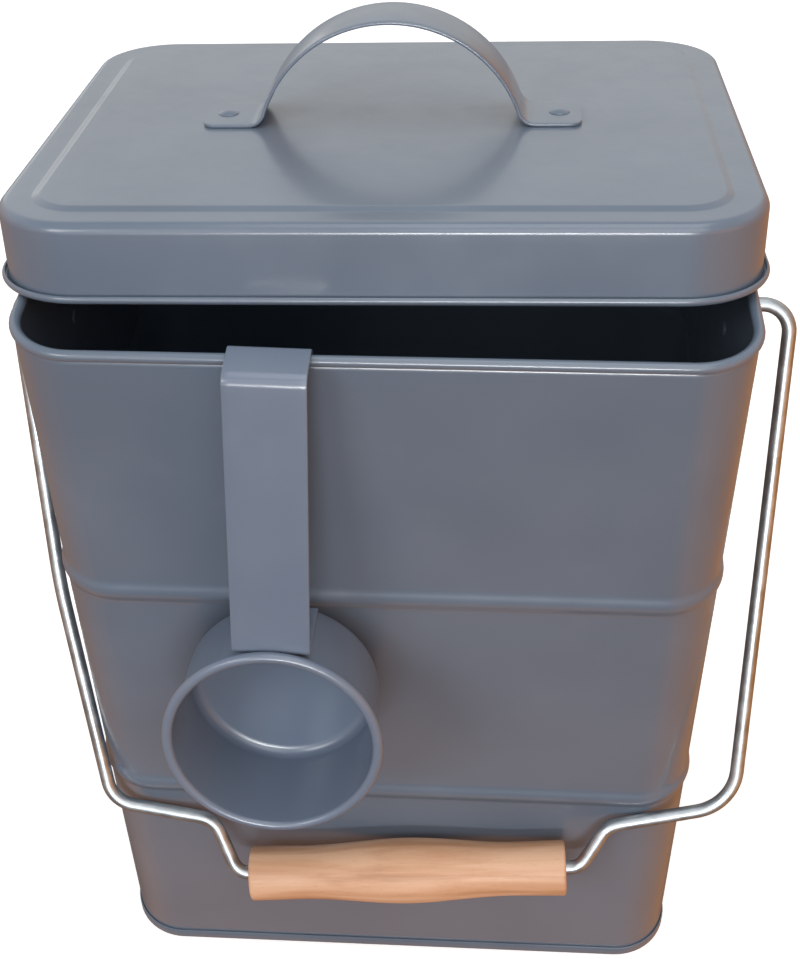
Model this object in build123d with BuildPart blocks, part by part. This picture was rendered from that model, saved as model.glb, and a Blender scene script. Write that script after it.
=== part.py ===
"""Storage tin with a slip lid, a hook-on scoop and a wire bail with a wooden grip.

Sizes are in millimetres. The origin is the middle of the tin's footprint, on the surface that
it stands on. +Z is up, -Y is the front and +X is the right-hand side seen from the front.
"""

import os
from math import acos, asin, atan, atan2, cos, degrees, radians, sin, sqrt

from build123d import *

os.makedirs("parts", exist_ok=True)

# Tin
body_width = 190.0
body_depth = 152.0
body_height = 262.0
body_corner = 18.0
sheet = 0.6

# Ridges that stiffen the walls, and the rolled rim
lower_ridge_height = 89.5
upper_ridge_height = 177.5
ridge_width = 9.0
ridge_proud = 0.9
rim_roll = 3.0
rim_proud = 0.9
rim_neck_radius = 2.0
roll_past_side = 50.0

# Base, folded round the foot of the wall
seam_height = 4.0
seam_radius = 0.5
foot_trim = 0.02
base_raise = 3.8
base_radius = 1.2
base_flange = 7.0

# Clearances
rest_gap = 0.3
seam_gap = 0.1
bore_gap = 0.1

# Lid
lid_fit = 2.9
lid_height = 21.1
lid_bend = 2.8
lid_hem_roll = 2.4
panel_inset = 10.0
panel_step = 0.8
panel_step_run = 2.2
panel_step_radius = 2.0
panel_margin = 4.0

# How the lid lies ajar: pushed back, with its front up and its right side a little higher
lid_tilt = 9.8
lid_roll = 1.0
lid_aside = -1.75

# Lid handle
strap_thickness = 1.0
handle_width = 21.0
handle_span = 108.0
handle_rise = 29.2
handle_arch_radius = 38.5
handle_bend = 5.0
handle_foot_corner = 3.5

# Rivets
lid_rivet_radius = 1.8
lid_rivet_head_radius = 3.0
lid_rivet_head_height = 1.0
lid_rivet_inset = 6.2
small_rivet_radius = 1.5
small_rivet_head_radius = 2.8
small_rivet_head_height = 0.9

# Scoop
cup_mouth_radius = 30.6
cup_depth = 31.5
cup_taper = 0.5
cup_floor_radius = 3.6
cup_roll = 3.0
scoop_tilt = 12.3
scoop_turn = 1.4
scoop_across = -26.8
scoop_strap_width = 21.0
scoop_strap_length = 81.0
hook_drop = 14.0
hook_back_bend = 2.0
hook_front_bend = 3.2
foot_bend = 1.6
foot_length = 22.0
foot_rivet_spacing = 9.0
foot_rivet_inset = 5.0

# Bail. Its wire is bent by hand, so its two sides differ a little, and its left arm bows round
# the tin's corner. Out is measured from the side wall, and down from the pivot line. The
# shoulders are given as out and up from the wire's bends at the grip.
wire_radius = 2.15
pivot_below_rim = 34.5
arm_top_out = 20.4
left_knee_out = 10.2
left_knee_down = 92.0
left_foot_out = -4.1
left_foot_down = 165.0
right_foot_out = 13.3
right_foot_down = 158.5
left_shoulder_rise = (7.5, 18.9)
right_shoulder_rise = (8.1, 14.8)
wire_past_grip = 4.66
grip_across = 5.45
grip_down = 185.55
grip_slope = 3.55
elbow_bend = 8.0
knee_bend = 200.0
left_foot_bend = 9.5
right_foot_bend = 15.0
shoulder_bend = 8.0
grip_bend = 6.0
wire_head_radius = 3.8
wire_head_thickness = 1.6

# Ears that carry the bail
ear_sheet = 1.0
ear_length = 37.0
ear_width = 16.0
ear_dome_radius = 7.0
ear_dome_height = 6.0
ear_dome_bend = 1.8
ear_rivet_across = 12.8

# Wooden grip
grip_length = 102.0
grip_end_radius = 8.8
grip_waist_radius = 8.5
grip_waist_at = 34.0
grip_middle_radius = 10.4
grip_edge = 1.0


def wall_outline(width, depth, corner, plane=Plane.XY):
    """The outer face of a wall seen from above, and the plane that its section is drawn in.

    In the section X is the distance out from the wall's outer face and Y the height.
    """
    x, y = width / 2, depth / 2
    with BuildLine(plane) as outline:
        FilletPolyline((-x, -y), (x, -y), (x, y), (-x, y), radius=corner, close=True)
    wire = outline.wire()
    along = wire % 0
    return wire, Plane(origin=wire @ 0, x_dir=along.cross(plane.z_dir), z_dir=-along)


def ridge(foot):
    """A soft outward ridge in a rising wall, drawn in arcs of one radius. Returns its top."""
    turn = 2 * degrees(atan(2 * ridge_proud / ridge_width))
    radius = ridge_width / (4 * sin(radians(turn)))
    out = JernArc(foot, (0, 1), radius, -turn)
    over = JernArc(out @ 1, out % 1, radius, 2 * turn)
    back = JernArc(over @ 1, over % 1, radius, -turn)
    return back @ 1


def make_rivet(plane, radius, head_radius, head_height, grip):
    """A domed rivet. The plane lies under its head, and its tail is upset past the grip."""
    tail_radius = (radius + head_radius) / 2
    tail_height = 0.7 * head_height
    with BuildPart() as rivet:
        with BuildSketch(Plane(origin=plane.origin, x_dir=plane.x_dir, z_dir=-plane.y_dir)):
            with BuildLine():
                top = (0, head_height)
                dome_radius = (head_radius**2 + head_height**2) / (2 * head_height)
                dome = JernArc(top, (1, 0), dome_radius, -degrees(asin(head_radius / dome_radius)))
                Polyline(dome @ 1, (radius, 0), (radius, -grip), (tail_radius, -grip))
                Polyline((tail_radius, -grip), (tail_radius, -grip - tail_height))
                Polyline((tail_radius, -grip - tail_height), (0, -grip - tail_height), top)
            make_face()
        revolve(axis=Axis(plane.origin, plane.z_dir))
    return rivet.part


# Tin body: one folded sheet with two ridges and a rim that is rolled outwards
wall_mid = -sheet / 2
rim_radius = (rim_roll - sheet) / 2
rim_middle = rim_proud - rim_roll / 2
rim_axis_height = body_height - rim_roll / 2
neck_turn = degrees(acos((rim_neck_radius + rim_middle - wall_mid) / (rim_neck_radius + rim_radius)))
neck_height = (rim_neck_radius + rim_radius) * sin(radians(neck_turn))
pivot_height = body_height - pivot_below_rim
body_wire, body_section = wall_outline(body_width, body_depth, body_corner)

ear_planes = {
    name: Plane(origin=(side * body_width / 2, 0, pivot_height), x_dir=(0, side, 0), z_dir=(side, 0, 0))
    for name, side in (("left", -1), ("right", 1))
}

with BuildPart() as tin_body:
    with BuildSketch(body_section):
        with BuildLine():
            foot = (wall_mid, sheet + seam_gap)
            lower = (wall_mid, lower_ridge_height - ridge_width / 2)
            Line(foot, lower)
            lower_top = ridge(lower)
            upper = (wall_mid, upper_ridge_height - ridge_width / 2)
            Line(lower_top, upper)
            upper_top = ridge(upper)
            neck_start = (wall_mid, rim_axis_height - neck_height)
            Line(upper_top, neck_start)
            neck = JernArc(neck_start, (0, 1), rim_neck_radius, neck_turn)
            JernArc(neck @ 1, neck % 1, rim_radius, -(180 + neck_turn + roll_past_side))
        trace(line_width=sheet)
    sweep(path=body_wire)
    for plane in ear_planes.values():
        with Locations(plane):
            with Locations((-ear_rivet_across, 0), (ear_rivet_across, 0)):
                Cylinder(
                    small_rivet_radius + seam_gap,
                    4 * sheet,
                    mode=Mode.SUBTRACT,
                )
tin_body.part.label = "tin_body"
export_step(tin_body.part, "parts/tin_body.step")

# Base: a raised panel whose rim is folded up round the foot of the wall. The fold is trimmed to
# one flat face, which the tin stands on.
seam_outer = seam_gap + sheet / 2
seam_inner = -sheet - seam_gap - sheet / 2
fold_mid = sheet / 2 - foot_trim
with BuildPart() as tin_base:
    with BuildSketch(body_section):
        with BuildLine():
            FilletPolyline(
                (seam_outer, seam_height),
                (seam_outer, fold_mid),
                (seam_inner, fold_mid),
                (seam_inner, base_raise),
                (-base_flange, base_raise),
                radius=[seam_radius, seam_radius, base_radius],
            )
        trace(line_width=sheet)
    sweep(path=body_wire)
    with BuildSketch(Plane.XY.offset(base_raise - sheet / 2)):
        RectangleRounded(
            body_width - 2 * base_flange,
            body_depth - 2 * base_flange,
            body_corner - base_flange,
        )
    extrude(amount=sheet)
    with BuildSketch():
        RectangleRounded(
            body_width + 4 * seam_outer, body_depth + 4 * seam_outer, body_corner + 2 * seam_outer
        )
    extrude(amount=-sheet, mode=Mode.SUBTRACT)
tin_base.part.label = "tin_base"
export_step(tin_base.part, "parts/tin_base.step")

# Ears: a domed plate on each side wall, with the hole that the bail's end turns in
rim_grip = ear_sheet + sheet
for name, plane in ear_planes.items():
    with BuildPart() as ear:
        with BuildSketch(plane):
            SlotOverall(ear_length, ear_width)
        extrude(amount=ear_sheet)
        with BuildSketch(plane):
            Circle(ear_dome_radius)
        extrude(amount=ear_dome_height)
        roof = ear.faces().sort_by(Axis(plane.origin, plane.z_dir))[-1]
        fillet(roof.edges(), radius=ear_dome_bend)
        with BuildSketch(plane):
            Circle(ear_dome_radius - ear_sheet)
        extrude(amount=ear_dome_height - ear_sheet, mode=Mode.SUBTRACT)
        with BuildSketch(plane):
            Circle(wire_radius + bore_gap)
            with Locations((-ear_rivet_across, 0), (ear_rivet_across, 0)):
                Circle(small_rivet_radius + seam_gap)
        extrude(amount=ear_dome_height, mode=Mode.SUBTRACT)
    ear.part.label = f"ear_{name}"
    export_step(ear.part, f"parts/ear_{name}.step")

    rivets = []
    for across in (-ear_rivet_across, ear_rivet_across):
        seat = Plane(
            origin=plane.origin + plane.x_dir * across + plane.z_dir * ear_sheet,
            x_dir=plane.x_dir,
            z_dir=plane.z_dir,
        )
        rivets.append(
            make_rivet(seat, small_rivet_radius, small_rivet_head_radius, small_rivet_head_height, rim_grip)
        )
    pair = Compound(label=f"ear_rivets_{name}", children=rivets)
    export_step(pair, f"parts/ear_rivets_{name}.step")

# Lid's place. Its plane lies under the hem. The hem's front left corner lies on the left rim,
# and the underside of the raised panel on the left end of the rear rim.
lid_width = body_width + 2 * (rim_proud + lid_fit + sheet)
lid_depth = body_depth + 2 * (rim_proud + lid_fit + sheet)
lid_corner = body_corner + rim_proud + lid_fit + sheet
hem_radius = (lid_hem_roll - sheet) / 2
hem_middle = wall_mid + hem_radius
tilt = radians(lid_tilt)
roll = radians(lid_roll)
panel_top = lid_height + panel_step
side_rim = body_width / 2 + rim_middle
rear_rim = body_depth / 2 + rim_middle
hem_corner = lid_corner + hem_middle
rim_past_bend = side_rim + lid_aside - (lid_width / 2 - lid_corner)
front_reach = lid_depth / 2 - lid_corner + sqrt(hem_corner**2 - rim_past_bend**2)
hem_above_rim = rest_gap + (rim_roll + lid_hem_roll) / 2
lid_level = (
    rim_axis_height
    + hem_above_rim
    + (side_rim + lid_aside) * sin(roll)
    - (front_reach * sin(tilt) + lid_hem_roll / 2 * cos(tilt)) * cos(roll)
)
rim_below_panel = panel_top - sheet - rest_gap - rim_roll / 2
rear_rim_end = body_width / 2 - body_corner + lid_aside
rear_rim_above_lid = rim_axis_height - lid_level + rear_rim_end * sin(roll)
lid_back = rear_rim - (rim_below_panel - rear_rim_above_lid * cos(tilt)) / sin(tilt)
lid_plane = Plane(
    origin=(lid_aside, lid_back, lid_level),
    x_dir=(cos(roll), 0, sin(roll)),
    z_dir=(-sin(roll) * cos(tilt), sin(tilt), cos(roll) * cos(tilt)),
)

# Lid shell: a raised panel inside a lower margin, a skirt, and a hem that is rolled outwards
lid_wire, lid_section = wall_outline(lid_width, lid_depth, lid_corner, lid_plane)
step_inner = panel_inset + panel_step_run / 2
panel_edge = step_inner + panel_margin
rivet_across = handle_span / 2 - lid_rivet_inset
with BuildPart() as lid_shell:
    with BuildSketch(lid_section):
        with BuildLine():
            FilletPolyline(
                (-panel_edge, panel_top - sheet / 2),
                (-step_inner, panel_top - sheet / 2),
                (-step_inner + panel_step_run, lid_height - sheet / 2),
                (wall_mid, lid_height - sheet / 2),
                (wall_mid, lid_hem_roll / 2),
                radius=[panel_step_radius, panel_step_radius, lid_bend - sheet / 2],
            )
            JernArc((wall_mid, lid_hem_roll / 2), (0, -1), hem_radius, 180 + roll_past_side)
        trace(line_width=sheet)
    sweep(path=lid_wire)
    with BuildSketch(lid_plane.offset(panel_top - sheet)):
        RectangleRounded(
            lid_width - 2 * panel_edge, lid_depth - 2 * panel_edge, lid_corner - panel_edge
        )
    extrude(amount=sheet)
    with Locations(lid_plane.offset(panel_top)):
        with Locations((-rivet_across, 0), (rivet_across, 0)):
            Cylinder(lid_rivet_radius + seam_gap, 4 * sheet, mode=Mode.SUBTRACT)
lid_shell.part.label = "lid_shell"
export_step(lid_shell.part, "parts/lid_shell.step")

# Lid handle: a flat strap bent to an arch between two feet
foot_middle = panel_top + strap_thickness / 2
arch_centre = foot_middle + handle_rise - strap_thickness / 2 - handle_arch_radius
bend_above_arch = foot_middle + handle_bend - arch_centre
bend_across = sqrt((handle_arch_radius + handle_bend) ** 2 - bend_above_arch**2)
foot_turn = degrees(atan2(bend_across, bend_above_arch))
handle_plane = Plane(origin=lid_plane.origin, x_dir=lid_plane.x_dir, z_dir=-lid_plane.y_dir)
with BuildPart() as lid_handle:
    with BuildSketch(handle_plane):
        with BuildLine():
            left_foot = Line((-handle_span / 2, foot_middle), (-bend_across, foot_middle))
            left_bend = JernArc(left_foot @ 1, (1, 0), handle_bend, foot_turn)
            arch = JernArc(left_bend @ 1, left_bend % 1, handle_arch_radius, -2 * foot_turn)
            right_bend = JernArc(arch @ 1, arch % 1, handle_bend, foot_turn)
            Line(right_bend @ 1, (handle_span / 2, foot_middle))
        trace(line_width=strap_thickness)
    extrude(amount=handle_width / 2, both=True)
    toes = lid_handle.edges().filter_by(Axis(lid_plane.origin, lid_plane.z_dir))
    fillet(toes, radius=handle_foot_corner)
    with Locations(lid_plane.offset(panel_top)):
        with Locations((-rivet_across, 0), (rivet_across, 0)):
            Cylinder(lid_rivet_radius + seam_gap, 4 * strap_thickness, mode=Mode.SUBTRACT)
lid_handle.part.label = "lid_handle"
export_step(lid_handle.part, "parts/lid_handle.step")

for name, side in (("left", -1), ("right", 1)):
    top = lid_plane.offset(panel_top + strap_thickness)
    seat = Plane(
        origin=top.origin + top.x_dir * side * rivet_across, x_dir=top.x_dir, z_dir=top.z_dir
    )
    lid_rivet = make_rivet(
        seat,
        lid_rivet_radius,
        lid_rivet_head_radius,
        lid_rivet_head_height,
        strap_thickness + sheet,
    )
    lid_rivet.label = f"lid_rivet_{name}"
    export_step(lid_rivet, f"parts/lid_rivet_{name}.step")

# Scoop's place. It hangs by its hook on the front rim and leans out on the cup, whose back
# edge lies against the upper ridge. It hangs turned a little clockwise seen from the front, so
# the right edge of its hook lies on the rim.
lean = radians(scoop_tilt)
turn = radians(scoop_turn)
roll_radius = (cup_roll - sheet) / 2
cup_wall = cup_mouth_radius - cup_roll / 2 - roll_radius
cup_back_wall = cup_wall - cup_taper
mouth_ahead = cup_roll + seam_gap + strap_thickness / 2
cup_below_strap = strap_thickness / 2 + seam_gap + cup_wall + sheet / 2
back_edge_down = scoop_strap_length + cup_below_strap - (cup_back_wall - cup_floor_radius)
back_edge_behind = cup_depth - sheet / 2 - cup_floor_radius - mouth_ahead
back_edge_reach = cup_floor_radius + sheet / 2
strap_ahead = (
    back_edge_behind * cos(lean)
    + back_edge_reach
    + ridge_proud
    + rest_gap
    - back_edge_down * sin(lean)
)
edge_drop = scoop_strap_width / 2 * sin(turn)
hook_top = body_height + rest_gap + strap_thickness / 2 * cos(turn) + edge_drop
hook_front = -body_depth / 2 - strap_ahead
hook_back = -body_depth / 2 + rim_roll - rim_proud + rest_gap + strap_thickness / 2
hook_plane = Plane(
    origin=(scoop_across, 0, hook_top), x_dir=(0, 1, 0), z_dir=(cos(turn), 0, -sin(turn))
)
scoop_plane = Plane(
    origin=hook_plane.origin + hook_plane.x_dir * hook_front,
    x_dir=hook_plane.z_dir,
    z_dir=hook_plane.y_dir * sin(lean) - hook_plane.x_dir * cos(lean),
)
strap_foot = scoop_plane.origin - scoop_plane.y_dir * scoop_strap_length
cup_centre = strap_foot - scoop_plane.y_dir * cup_below_strap + scoop_plane.z_dir * mouth_ahead
foot_end = strap_foot - scoop_plane.z_dir * foot_length

# Scoop strap: hook, strap and foot are one bent strip
foot_top = strap_foot + scoop_plane.y_dir * strap_thickness / 2
foot_rivets = [
    Plane(
        origin=foot_top - scoop_plane.z_dir * behind,
        x_dir=scoop_plane.x_dir,
        z_dir=scoop_plane.y_dir,
    )
    for behind in (
        foot_length - foot_rivet_inset,
        foot_length - foot_rivet_inset - foot_rivet_spacing,
    )
]
with BuildPart() as scoop_strap:
    with BuildSketch(hook_plane):
        with BuildLine():
            FilletPolyline(
                (hook_back, -hook_drop),
                (hook_back, 0),
                (hook_front, 0),
                hook_plane.to_local_coords(strap_foot),
                hook_plane.to_local_coords(foot_end),
                radius=[hook_back_bend, hook_front_bend, foot_bend],
            )
        trace(line_width=strap_thickness)
    extrude(amount=scoop_strap_width / 2, both=True)
    for plane in foot_rivets:
        with Locations(plane):
            Cylinder(small_rivet_radius + seam_gap, 4 * strap_thickness, mode=Mode.SUBTRACT)
scoop_strap.part.label = "scoop_strap"
export_step(scoop_strap.part, "parts/scoop_strap.step")

# Scoop cup: drawn from sheet, with a rounded floor edge and a rolled mouth
cup_section = Plane(origin=cup_centre, x_dir=scoop_plane.y_dir, z_dir=scoop_plane.x_dir)
with BuildPart() as scoop_cup:
    with BuildSketch(cup_section):
        with BuildLine():
            FilletPolyline(
                (0, sheet / 2 - cup_depth),
                (cup_back_wall, sheet / 2 - cup_depth),
                (cup_wall, -cup_roll / 2),
                radius=[cup_floor_radius],
            )
            JernArc((cup_wall, -cup_roll / 2), (0, 1), roll_radius, -180 - roll_past_side)
        trace(line_width=sheet)
    revolve(axis=Axis(cup_centre, scoop_plane.z_dir))
    for plane in foot_rivets:
        with Locations(plane):
            Cylinder(small_rivet_radius + seam_gap, 8 * sheet, mode=Mode.SUBTRACT)
scoop_cup.part.label = "scoop_cup"
export_step(scoop_cup.part, "parts/scoop_cup.step")

foot_grip = strap_thickness + seam_gap + sheet + cup_taper
rivets = [
    make_rivet(plane, small_rivet_radius, small_rivet_head_radius, small_rivet_head_height, foot_grip)
    for plane in foot_rivets
]
scoop_rivets = Compound(label="scoop_rivets", children=rivets)
export_step(scoop_rivets, "parts/scoop_rivets.step")

# Bail: a round wire in one plane, swung forward until its grip or its right shoulder lies on
# the front wall. The right side is the shallower one.
arm_top = body_width / 2 + arm_top_out
left_arm_knee = (-body_width / 2 - left_knee_out, left_knee_down)
left_arm_foot = (-body_width / 2 - left_foot_out, left_foot_down)
right_arm_foot = (body_width / 2 + right_foot_out, right_foot_down)
slope = radians(grip_slope)
half_straight = grip_length / 2 + wire_past_grip
half_across, half_fall = half_straight * cos(slope), half_straight * sin(slope)
left_bend_at_grip = (grip_across - half_across, grip_down + half_fall)
right_bend_at_grip = (grip_across + half_across, grip_down - half_fall)
left_shoulder = (
    left_bend_at_grip[0] - left_shoulder_rise[0],
    left_bend_at_grip[1] - left_shoulder_rise[1],
)
right_shoulder = (
    right_bend_at_grip[0] + right_shoulder_rise[0],
    right_bend_at_grip[1] - right_shoulder_rise[1],
)
flat_wall_end = body_width / 2 - body_corner
past_foot = (right_arm_foot[0] - flat_wall_end) / (right_arm_foot[0] - right_shoulder[0])
nearest_shoulder = right_arm_foot[1] + past_foot * (right_shoulder[1] - right_arm_foot[1])
nearest_grip_end = grip_down - grip_length / 2 * sin(slope)
bail_forward = asin(
    max(
        (body_depth / 2 + rest_gap + wire_radius) / nearest_shoulder,
        (body_depth / 2 + rest_gap + grip_middle_radius) / nearest_grip_end,
    )
)
bail_plane = Plane(
    origin=(0, 0, pivot_height),
    x_dir=(1, 0, 0),
    z_dir=(0, cos(bail_forward), -sin(bail_forward)),
)

head_face = body_width / 2 + ear_dome_height - ear_sheet - rest_gap
wire_end = head_face - wire_head_thickness
with BuildPart() as bail_wire:
    with BuildLine(bail_plane) as route:
        FilletPolyline(
            (-wire_end, 0),
            (-arm_top, 0),
            left_arm_knee,
            left_arm_foot,
            left_shoulder,
            left_bend_at_grip,
            right_bend_at_grip,
            right_shoulder,
            right_arm_foot,
            (arm_top, 0),
            (wire_end, 0),
            radius=[elbow_bend, knee_bend, left_foot_bend, shoulder_bend, grip_bend]
            + [grip_bend, shoulder_bend, right_foot_bend, elbow_bend],
        )
    bail_route = route.wire()
    with BuildSketch(Plane(origin=bail_route @ 0, z_dir=bail_route % 0)):
        Circle(wire_radius)
    sweep(path=bail_route)
    for side in (-1, 1):
        with BuildSketch(Plane(origin=(side * wire_end, 0, pivot_height), z_dir=(side, 0, 0))):
            Circle(wire_head_radius)
        extrude(amount=wire_head_thickness)
bail_wire.part.label = "bail_wire"
export_step(bail_wire.part, "parts/bail_wire.step")

# Grip: turned from one piece of wood, bored for the wire
grip_middle = bail_plane.origin + bail_plane.x_dir * grip_across + bail_plane.y_dir * grip_down
grip_along = bail_plane.x_dir * cos(slope) - bail_plane.y_dir * sin(slope)
with BuildPart() as grip:
    with BuildSketch(Plane(origin=grip_middle, x_dir=grip_along, z_dir=bail_plane.z_dir)):
        with BuildLine():
            ends = grip_length / 2
            left_waist = (-grip_waist_at, grip_waist_radius)
            right_waist = (grip_waist_at, grip_waist_radius)
            Line((-ends, grip_end_radius), left_waist)
            Spline(
                left_waist,
                (0, grip_middle_radius),
                right_waist,
                tangents=[(1, 0), (1, 0)],
            )
            Line(right_waist, (ends, grip_end_radius))
            Polyline((ends, grip_end_radius), (ends, 0), (-ends, 0), (-ends, grip_end_radius))
        make_face()
    revolve(axis=Axis(grip_middle, grip_along))
    fillet(grip.edges().sort_by(Axis(grip_middle, grip_along))[0], radius=grip_edge)
    fillet(grip.edges().sort_by(Axis(grip_middle, grip_along))[-1], radius=grip_edge)
    with BuildSketch(Plane(origin=grip_middle, z_dir=grip_along)):
        Circle(wire_radius + bore_gap)
    extrude(amount=grip_length, both=True, mode=Mode.SUBTRACT)
grip.part.label = "grip"
export_step(grip.part, "parts/grip.step")
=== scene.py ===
"""The look of a painted storage tin with a slip lid, a hook-on scoop and a wire bail.

Sizes are in millimetres until a mesh is made. The frame is the CAD's: the origin is the middle of
the tin's footprint, +Z is up, -Y is the front and +X is the right-hand side seen from the front.
"""

from __future__ import annotations

import logging
import math
from collections.abc import Callable, Sequence
from dataclasses import dataclass, field
from enum import Enum
from functools import partial
from typing import Any

import bmesh
import bpy
import numpy as np
from mathutils import Matrix, Vector

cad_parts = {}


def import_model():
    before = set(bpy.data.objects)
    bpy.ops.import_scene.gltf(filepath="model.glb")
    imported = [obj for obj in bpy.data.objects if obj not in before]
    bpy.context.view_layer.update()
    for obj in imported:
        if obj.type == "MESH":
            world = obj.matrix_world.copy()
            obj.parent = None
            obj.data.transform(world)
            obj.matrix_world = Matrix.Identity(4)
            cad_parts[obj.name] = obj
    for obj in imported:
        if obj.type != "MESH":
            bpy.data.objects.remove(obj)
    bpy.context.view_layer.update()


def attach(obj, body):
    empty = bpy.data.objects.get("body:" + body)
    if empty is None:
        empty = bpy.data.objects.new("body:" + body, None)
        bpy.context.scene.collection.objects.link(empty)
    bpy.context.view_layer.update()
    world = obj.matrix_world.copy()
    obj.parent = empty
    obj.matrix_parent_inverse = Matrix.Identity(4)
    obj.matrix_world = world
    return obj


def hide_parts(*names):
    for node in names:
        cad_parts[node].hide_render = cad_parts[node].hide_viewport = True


log = logging.getLogger("storage_tin")

MM = 0.001
IMAGE_WIDTH, IMAGE_HEIGHT = 800, 959
SAME_PLACE = 1e-7  # metres
QUARTER = math.pi / 2
EDGE_STEPS = 4  # round the edge of a sheet
STRIP_STEPS = 12  # across a bent strip

NOISE = "ShaderNodeTexNoise"
RAMP = "ShaderNodeValToRGB"
MAP_RANGE = "ShaderNodeMapRange"
MAPPING = "ShaderNodeMapping"
MATH = "ShaderNodeMath"
MIX = "ShaderNodeMix"
BUMP = "ShaderNodeBump"
NAMED = "GeometryNodeInputNamedAttribute"
STORE = "GeometryNodeStoreNamedAttribute"

Point = tuple[float, float]
Tree = bpy.types.NodeTree
Piece = bpy.types.Object
Material = bpy.types.Material
Adder = Callable[..., Any]


class Body(Enum):
    """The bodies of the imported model."""

    TIN = "tin"
    LID = "lid"
    SCOOP = "scoop"
    BAIL = "bail"
    GRIP = "grip"


class Slot(Enum):
    """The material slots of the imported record."""

    PAINTED_STEEL = "painted_steel"
    GALVANISED_WIRE = "galvanised_wire"
    PALE_WOOD = "pale_wood"


# ---------------------------------------------------------------- nodes


def linear(code: str) -> tuple[float, float, float, float]:
    """Turns an sRGB hex colour to linear.

    Args:
        code: The colour, such as "#8090a0".

    Returns:
        Red, green, blue and an alpha of 1.
    """
    values = [int(code[i : i + 2], 16) / 255 for i in (1, 3, 5)]
    red, green, blue = [v / 12.92 if v <= 0.04045 else ((v + 0.055) / 1.055) ** 2.4 for v in values]
    return red, green, blue, 1.0


def per_metre(size: float) -> float:
    """The texture scale whose features are about size millimetres across."""
    return 1000 / size


def add(
    tree: Tree,
    kind: str,
    inputs: dict[str | int, Any] | None = None,
    stops: dict[float, str] | None = None,
    **settings: Any,
) -> Any:
    """Adds a node to a tree.

    Args:
        tree: The tree.
        kind: The node's type name.
        inputs: A value, or the output socket that it is linked to, for each input.
        stops: The hex colour at each place of a node that holds a row of colours.
        settings: The node's own properties.

    Returns:
        The node's outputs.
    """
    node = tree.nodes.new(kind)
    for i, (position, code) in enumerate((stops or {}).items()):
        elements = node.color_ramp.elements
        stop = elements[i] if i < len(elements) else elements.new(1.0)
        stop.position, stop.color = position, linear(code)
    for name, value in settings.items():
        setattr(node, name, value)
    for key, value in (inputs or {}).items():
        if isinstance(value, bpy.types.NodeSocket):
            tree.links.new(value, node.inputs[key])
        else:
            node.inputs[key].default_value = value
    return node.outputs


def new_material(name: str) -> tuple[Material, Adder, Any]:
    """Makes an empty material.

    Args:
        name: The material's name.

    Returns:
        The material, what adds nodes to it, and the Object coordinates of whatever wears it.
    """
    material = bpy.data.materials.new(name)
    material.use_nodes = True
    material.node_tree.nodes.clear()
    node = partial(add, material.node_tree)
    return material, node, node("ShaderNodeTexCoord")["Object"]


def end_material(node: Adder, inputs: dict[str | int, Any]) -> None:
    """Ends a material in a shader with these inputs."""
    shader = node("ShaderNodeBsdfPrincipled", inputs)
    node("ShaderNodeOutputMaterial", {"Surface": shader["BSDF"]})


# ---------------------------------------------------------------- finishes


@dataclass(frozen=True)
class SatinEnamel:
    """Satin stoving enamel, sprayed on tinplate and baked.

    The film is a smooth, slightly bluish grey with a soft broad gloss, so it shows its
    surroundings as blurred gradients. Close by it has the faint orange peel of a sprayed coat, a
    few dust specks, and dull rubbed patches where it has been handled.
    """

    name: str = "satin_enamel_on_tinplate"
    light: str = "#697686"
    dark: str = "#637080"
    rubbed: str = "#77808b"
    speck: str = "#b3b9c0"
    gloss: float = 0.3
    dull: float = 0.38
    coat_roughness: float = 0.15
    cloud_size: float = 55.0
    rub_size: float = 14.0
    speck_size: float = 2.2
    peel_size: float = 1.4
    peel_depth: float = 0.006

    def build(self) -> Material:
        """Builds the material.

        Returns:
            The material.
        """
        material, node, place = new_material(self.name)
        cloud = node(NOISE, {"Vector": place, "Scale": per_metre(self.cloud_size), "Detail": 2.0})
        tone = node(RAMP, {"Fac": cloud["Fac"]}, {0.35: self.dark, 0.65: self.light})
        rub_scale = {"Scale": per_metre(self.rub_size), "Detail": 6.0, "Roughness": 0.65}
        rub = node(NOISE, {"Vector": place, **rub_scale})["Fac"]
        rubbed = node(MAP_RANGE, {"Value": rub, "From Min": 0.6, "From Max": 0.78, "To Max": 0.2})
        worn = {0: rubbed["Result"], 6: tone[0], 7: linear(self.rubbed)}
        dust = node("ShaderNodeTexVoronoi", {"Vector": place, "Scale": per_metre(self.speck_size)})
        dot = node(MAP_RANGE, {"Value": dust["Distance"], "From Min": 0.1, "From Max": 0.05})
        rare = {"From Min": 0.9, "From Max": 0.92, "To Max": 0.35}
        chosen = node(MAP_RANGE, {"Value": dust["Color"], **rare})
        speck = node(MATH, {0: dot["Result"], 1: chosen["Result"]}, operation="MULTIPLY")
        worn_tone = node(MIX, worn, data_type="RGBA")[2]
        specked = {0: speck[0], 6: worn_tone, 7: linear(self.speck)}
        satin = {"From Min": 0.4, "From Max": 0.7, "To Min": self.gloss, "To Max": self.dull}
        peel = node(NOISE, {"Vector": place, "Scale": per_metre(self.peel_size), "Detail": 1.0})
        peel_bump = {"Height": peel["Fac"], "Distance": self.peel_depth * MM, "Strength": 1.0}
        coated = {
            "Base Color": node(MIX, specked, data_type="RGBA")[2],
            "Roughness": node(MAP_RANGE, {"Value": rub, **satin})["Result"],
            "Normal": node(BUMP, peel_bump)["Normal"],
            "IOR": 1.52,
            "Coat Weight": 0.5,
            "Coat Roughness": self.coat_roughness,
        }
        end_material(node, coated)
        return material


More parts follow.
